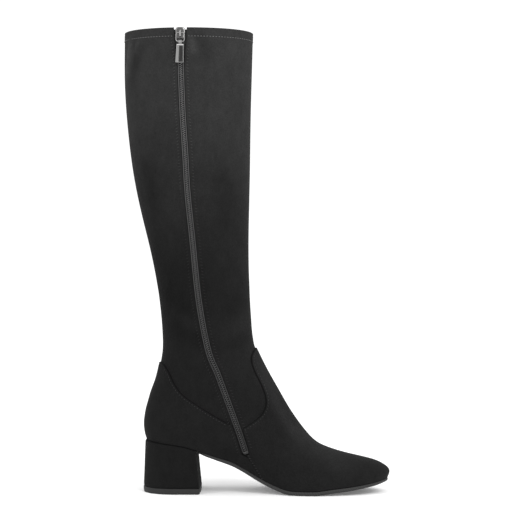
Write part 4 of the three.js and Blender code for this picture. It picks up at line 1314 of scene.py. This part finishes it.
def sewing():
    cover = GAP + PANEL_THICKNESS
    parts = []
    lean = math.radians(62)
    for side, border in ((-1, QUARTER_BORDER), (1, VAMP_BORDER)):
        station = np.arange(1 * MM, zip_height_station(COLLAR_HEIGHT - HEM_DEPTH - 1 * MM), 1 * MM)
        curve = zip_side(station, side * (SLOT_HALF + flare(station) + FLANK_INSET))
        level, turn = locate(curve[:, 0], curve[:, 1])
        lap = border[0, 1] + 1.5 * MM
        out = cover * smoothstep(lap - curve[:, 1], 0, 2 * MM) + FLANK_RISE
        parts.append(stitched(level, turn, out, lean=side * lean, length=2.5 * MM))
    inset = cover - 0.22 * MM
    vamp_line = beside(VAMP_BORDER, STITCH_INSET)
    quarter_line = beside(QUARTER_BORDER, -STITCH_INSET)
    keep = (vamp_line[:, 0] < 0.452 * FOOT_LENGTH) | (vamp_line[:, 1] < 0.8 * INSTEP_HEIGHT)
    for line in (vamp_line[keep], quarter_line[quarter_line[:, 0] > 0.082 * FOOT_LENGTH]):
        parts += on_both(line, inset, length=1.6 * MM)
    seam = spaced(on_foot(SIDE_SEAM), 1 * MM)
    parts += on_both(beside(seam, -0.9 * MM), cover + FLANK_RISE, lean=lean, length=2.3 * MM)
    # Painted light on the threads: lighter or darker by group
    shares = [0.85] * 2 + [1.3] * (len(parts) - 2) + [1.9]
    hem = shaft_level(COLLAR_HEIGHT - HEM_DEPTH)
    start, end = (edge_turn(slot_edge(side, SLOT_HALF + 1.5 * MM))(hem) for side in (1, -1))
    turn = np.linspace(start, 2 + end, 400)
    level = np.full(len(turn), hem)
    parts.append(stitched(level, turn, HEM_RISE - 0.1 * MM, pitch=3 * MM, radius=1.15 * THREAD))
    part = joined(parts)
    light = np.concatenate([np.full(len(points), share) for share, (points, _) in zip(shares, parts)])
    # The threads also take the suede's painted light and shade
    piece("thread", part, THREADS, slot="suede", shade=painted_lighting(part[0]) * light)


upper()
vamp()
quarter()
outsole()
heel_block()
top_lift()
insole()
zip_tape()
zip_chain()
slider()
link()
tab()
sewing()


# Stage, lights and camera

FLOOR_RADIUS = 40
FLOOR_GAP = 0.05 * MM


def staged(name, data):
    """A thing of the studio, which is no part of the boot."""
    made = bpy.data.objects.new(name, data)
    bpy.context.scene.collection.objects.link(made)
    return made


def studio():
    # The floor glows a little: painted light that lifts the shadows on it
    look = Look("glowing_pale_floor", 1.0, 1.0, {"Specular IOR Level": 0.0, "Emission Strength": 0.12})
    look.tint(look.noise(3), 0.93, 0.95)
    radius = np.geomspace(0.05, FLOOR_RADIUS, 24)
    angle = np.linspace(0, 2 * np.pi, 48, endpoint=False)
    along, aside = np.outer(radius, np.cos(angle)), np.outer(radius, np.sin(angle))
    points, faces = lattice(np.stack([along, aside, np.full(along.shape, -FLOOR_GAP)], -1), closed=True)
    mesh = bpy.data.meshes.new("floor")
    mesh.from_pydata(points.tolist(), [], faces.tolist() + [list(range(len(angle)))])
    mesh.materials.append(look.material)
    staged("floor", mesh)


def softbox(name, place, target, size, power):
    light = bpy.data.lights.new(name, "AREA")
    light.shape = "RECTANGLE"
    light.size, light.size_y = size
    light.energy = power
    made = staged(name, light)
    made.location = place
    made.rotation_euler = (Vector(target) - Vector(place)).to_track_quat("-Z", "Y").to_euler()


def camera():
    data = bpy.data.cameras.new("camera")
    data.sensor_width = 36
    data.lens = data.sensor_width * CAMERA_DISTANCE / (PICTURE * MM)
    data.clip_start, data.clip_end = 0.01, 50
    made = bpy.data.objects.new("camera", data)
    made.location = ORIGIN + [CAMERA_ALONG, -CAMERA_DISTANCE, CAMERA_HEIGHT]
    made.rotation_euler = (math.pi / 2, 0, 0)
    bpy.context.scene.collection.objects.link(made)
    bpy.context.scene.camera = made


def world():
    made = bpy.data.worlds.new("studio")
    made.use_nodes = True
    back = made.node_tree.nodes["Background"]
    back.inputs["Color"].default_value = (1, 1, 1, 1)
    back.inputs["Strength"].default_value = 1.12
    bpy.context.scene.world = made


studio()
world()
camera()
softbox("key", (1.2, -1.6, 1.9), (0, 0, 0.25), (1.4, 1.4), 26)
softbox("fill", (-1.5, -1.4, 1.2), (0, 0, 0.2), (1.2, 1.6), 8)
bpy.context.scene.view_settings.view_transform = "Standard"
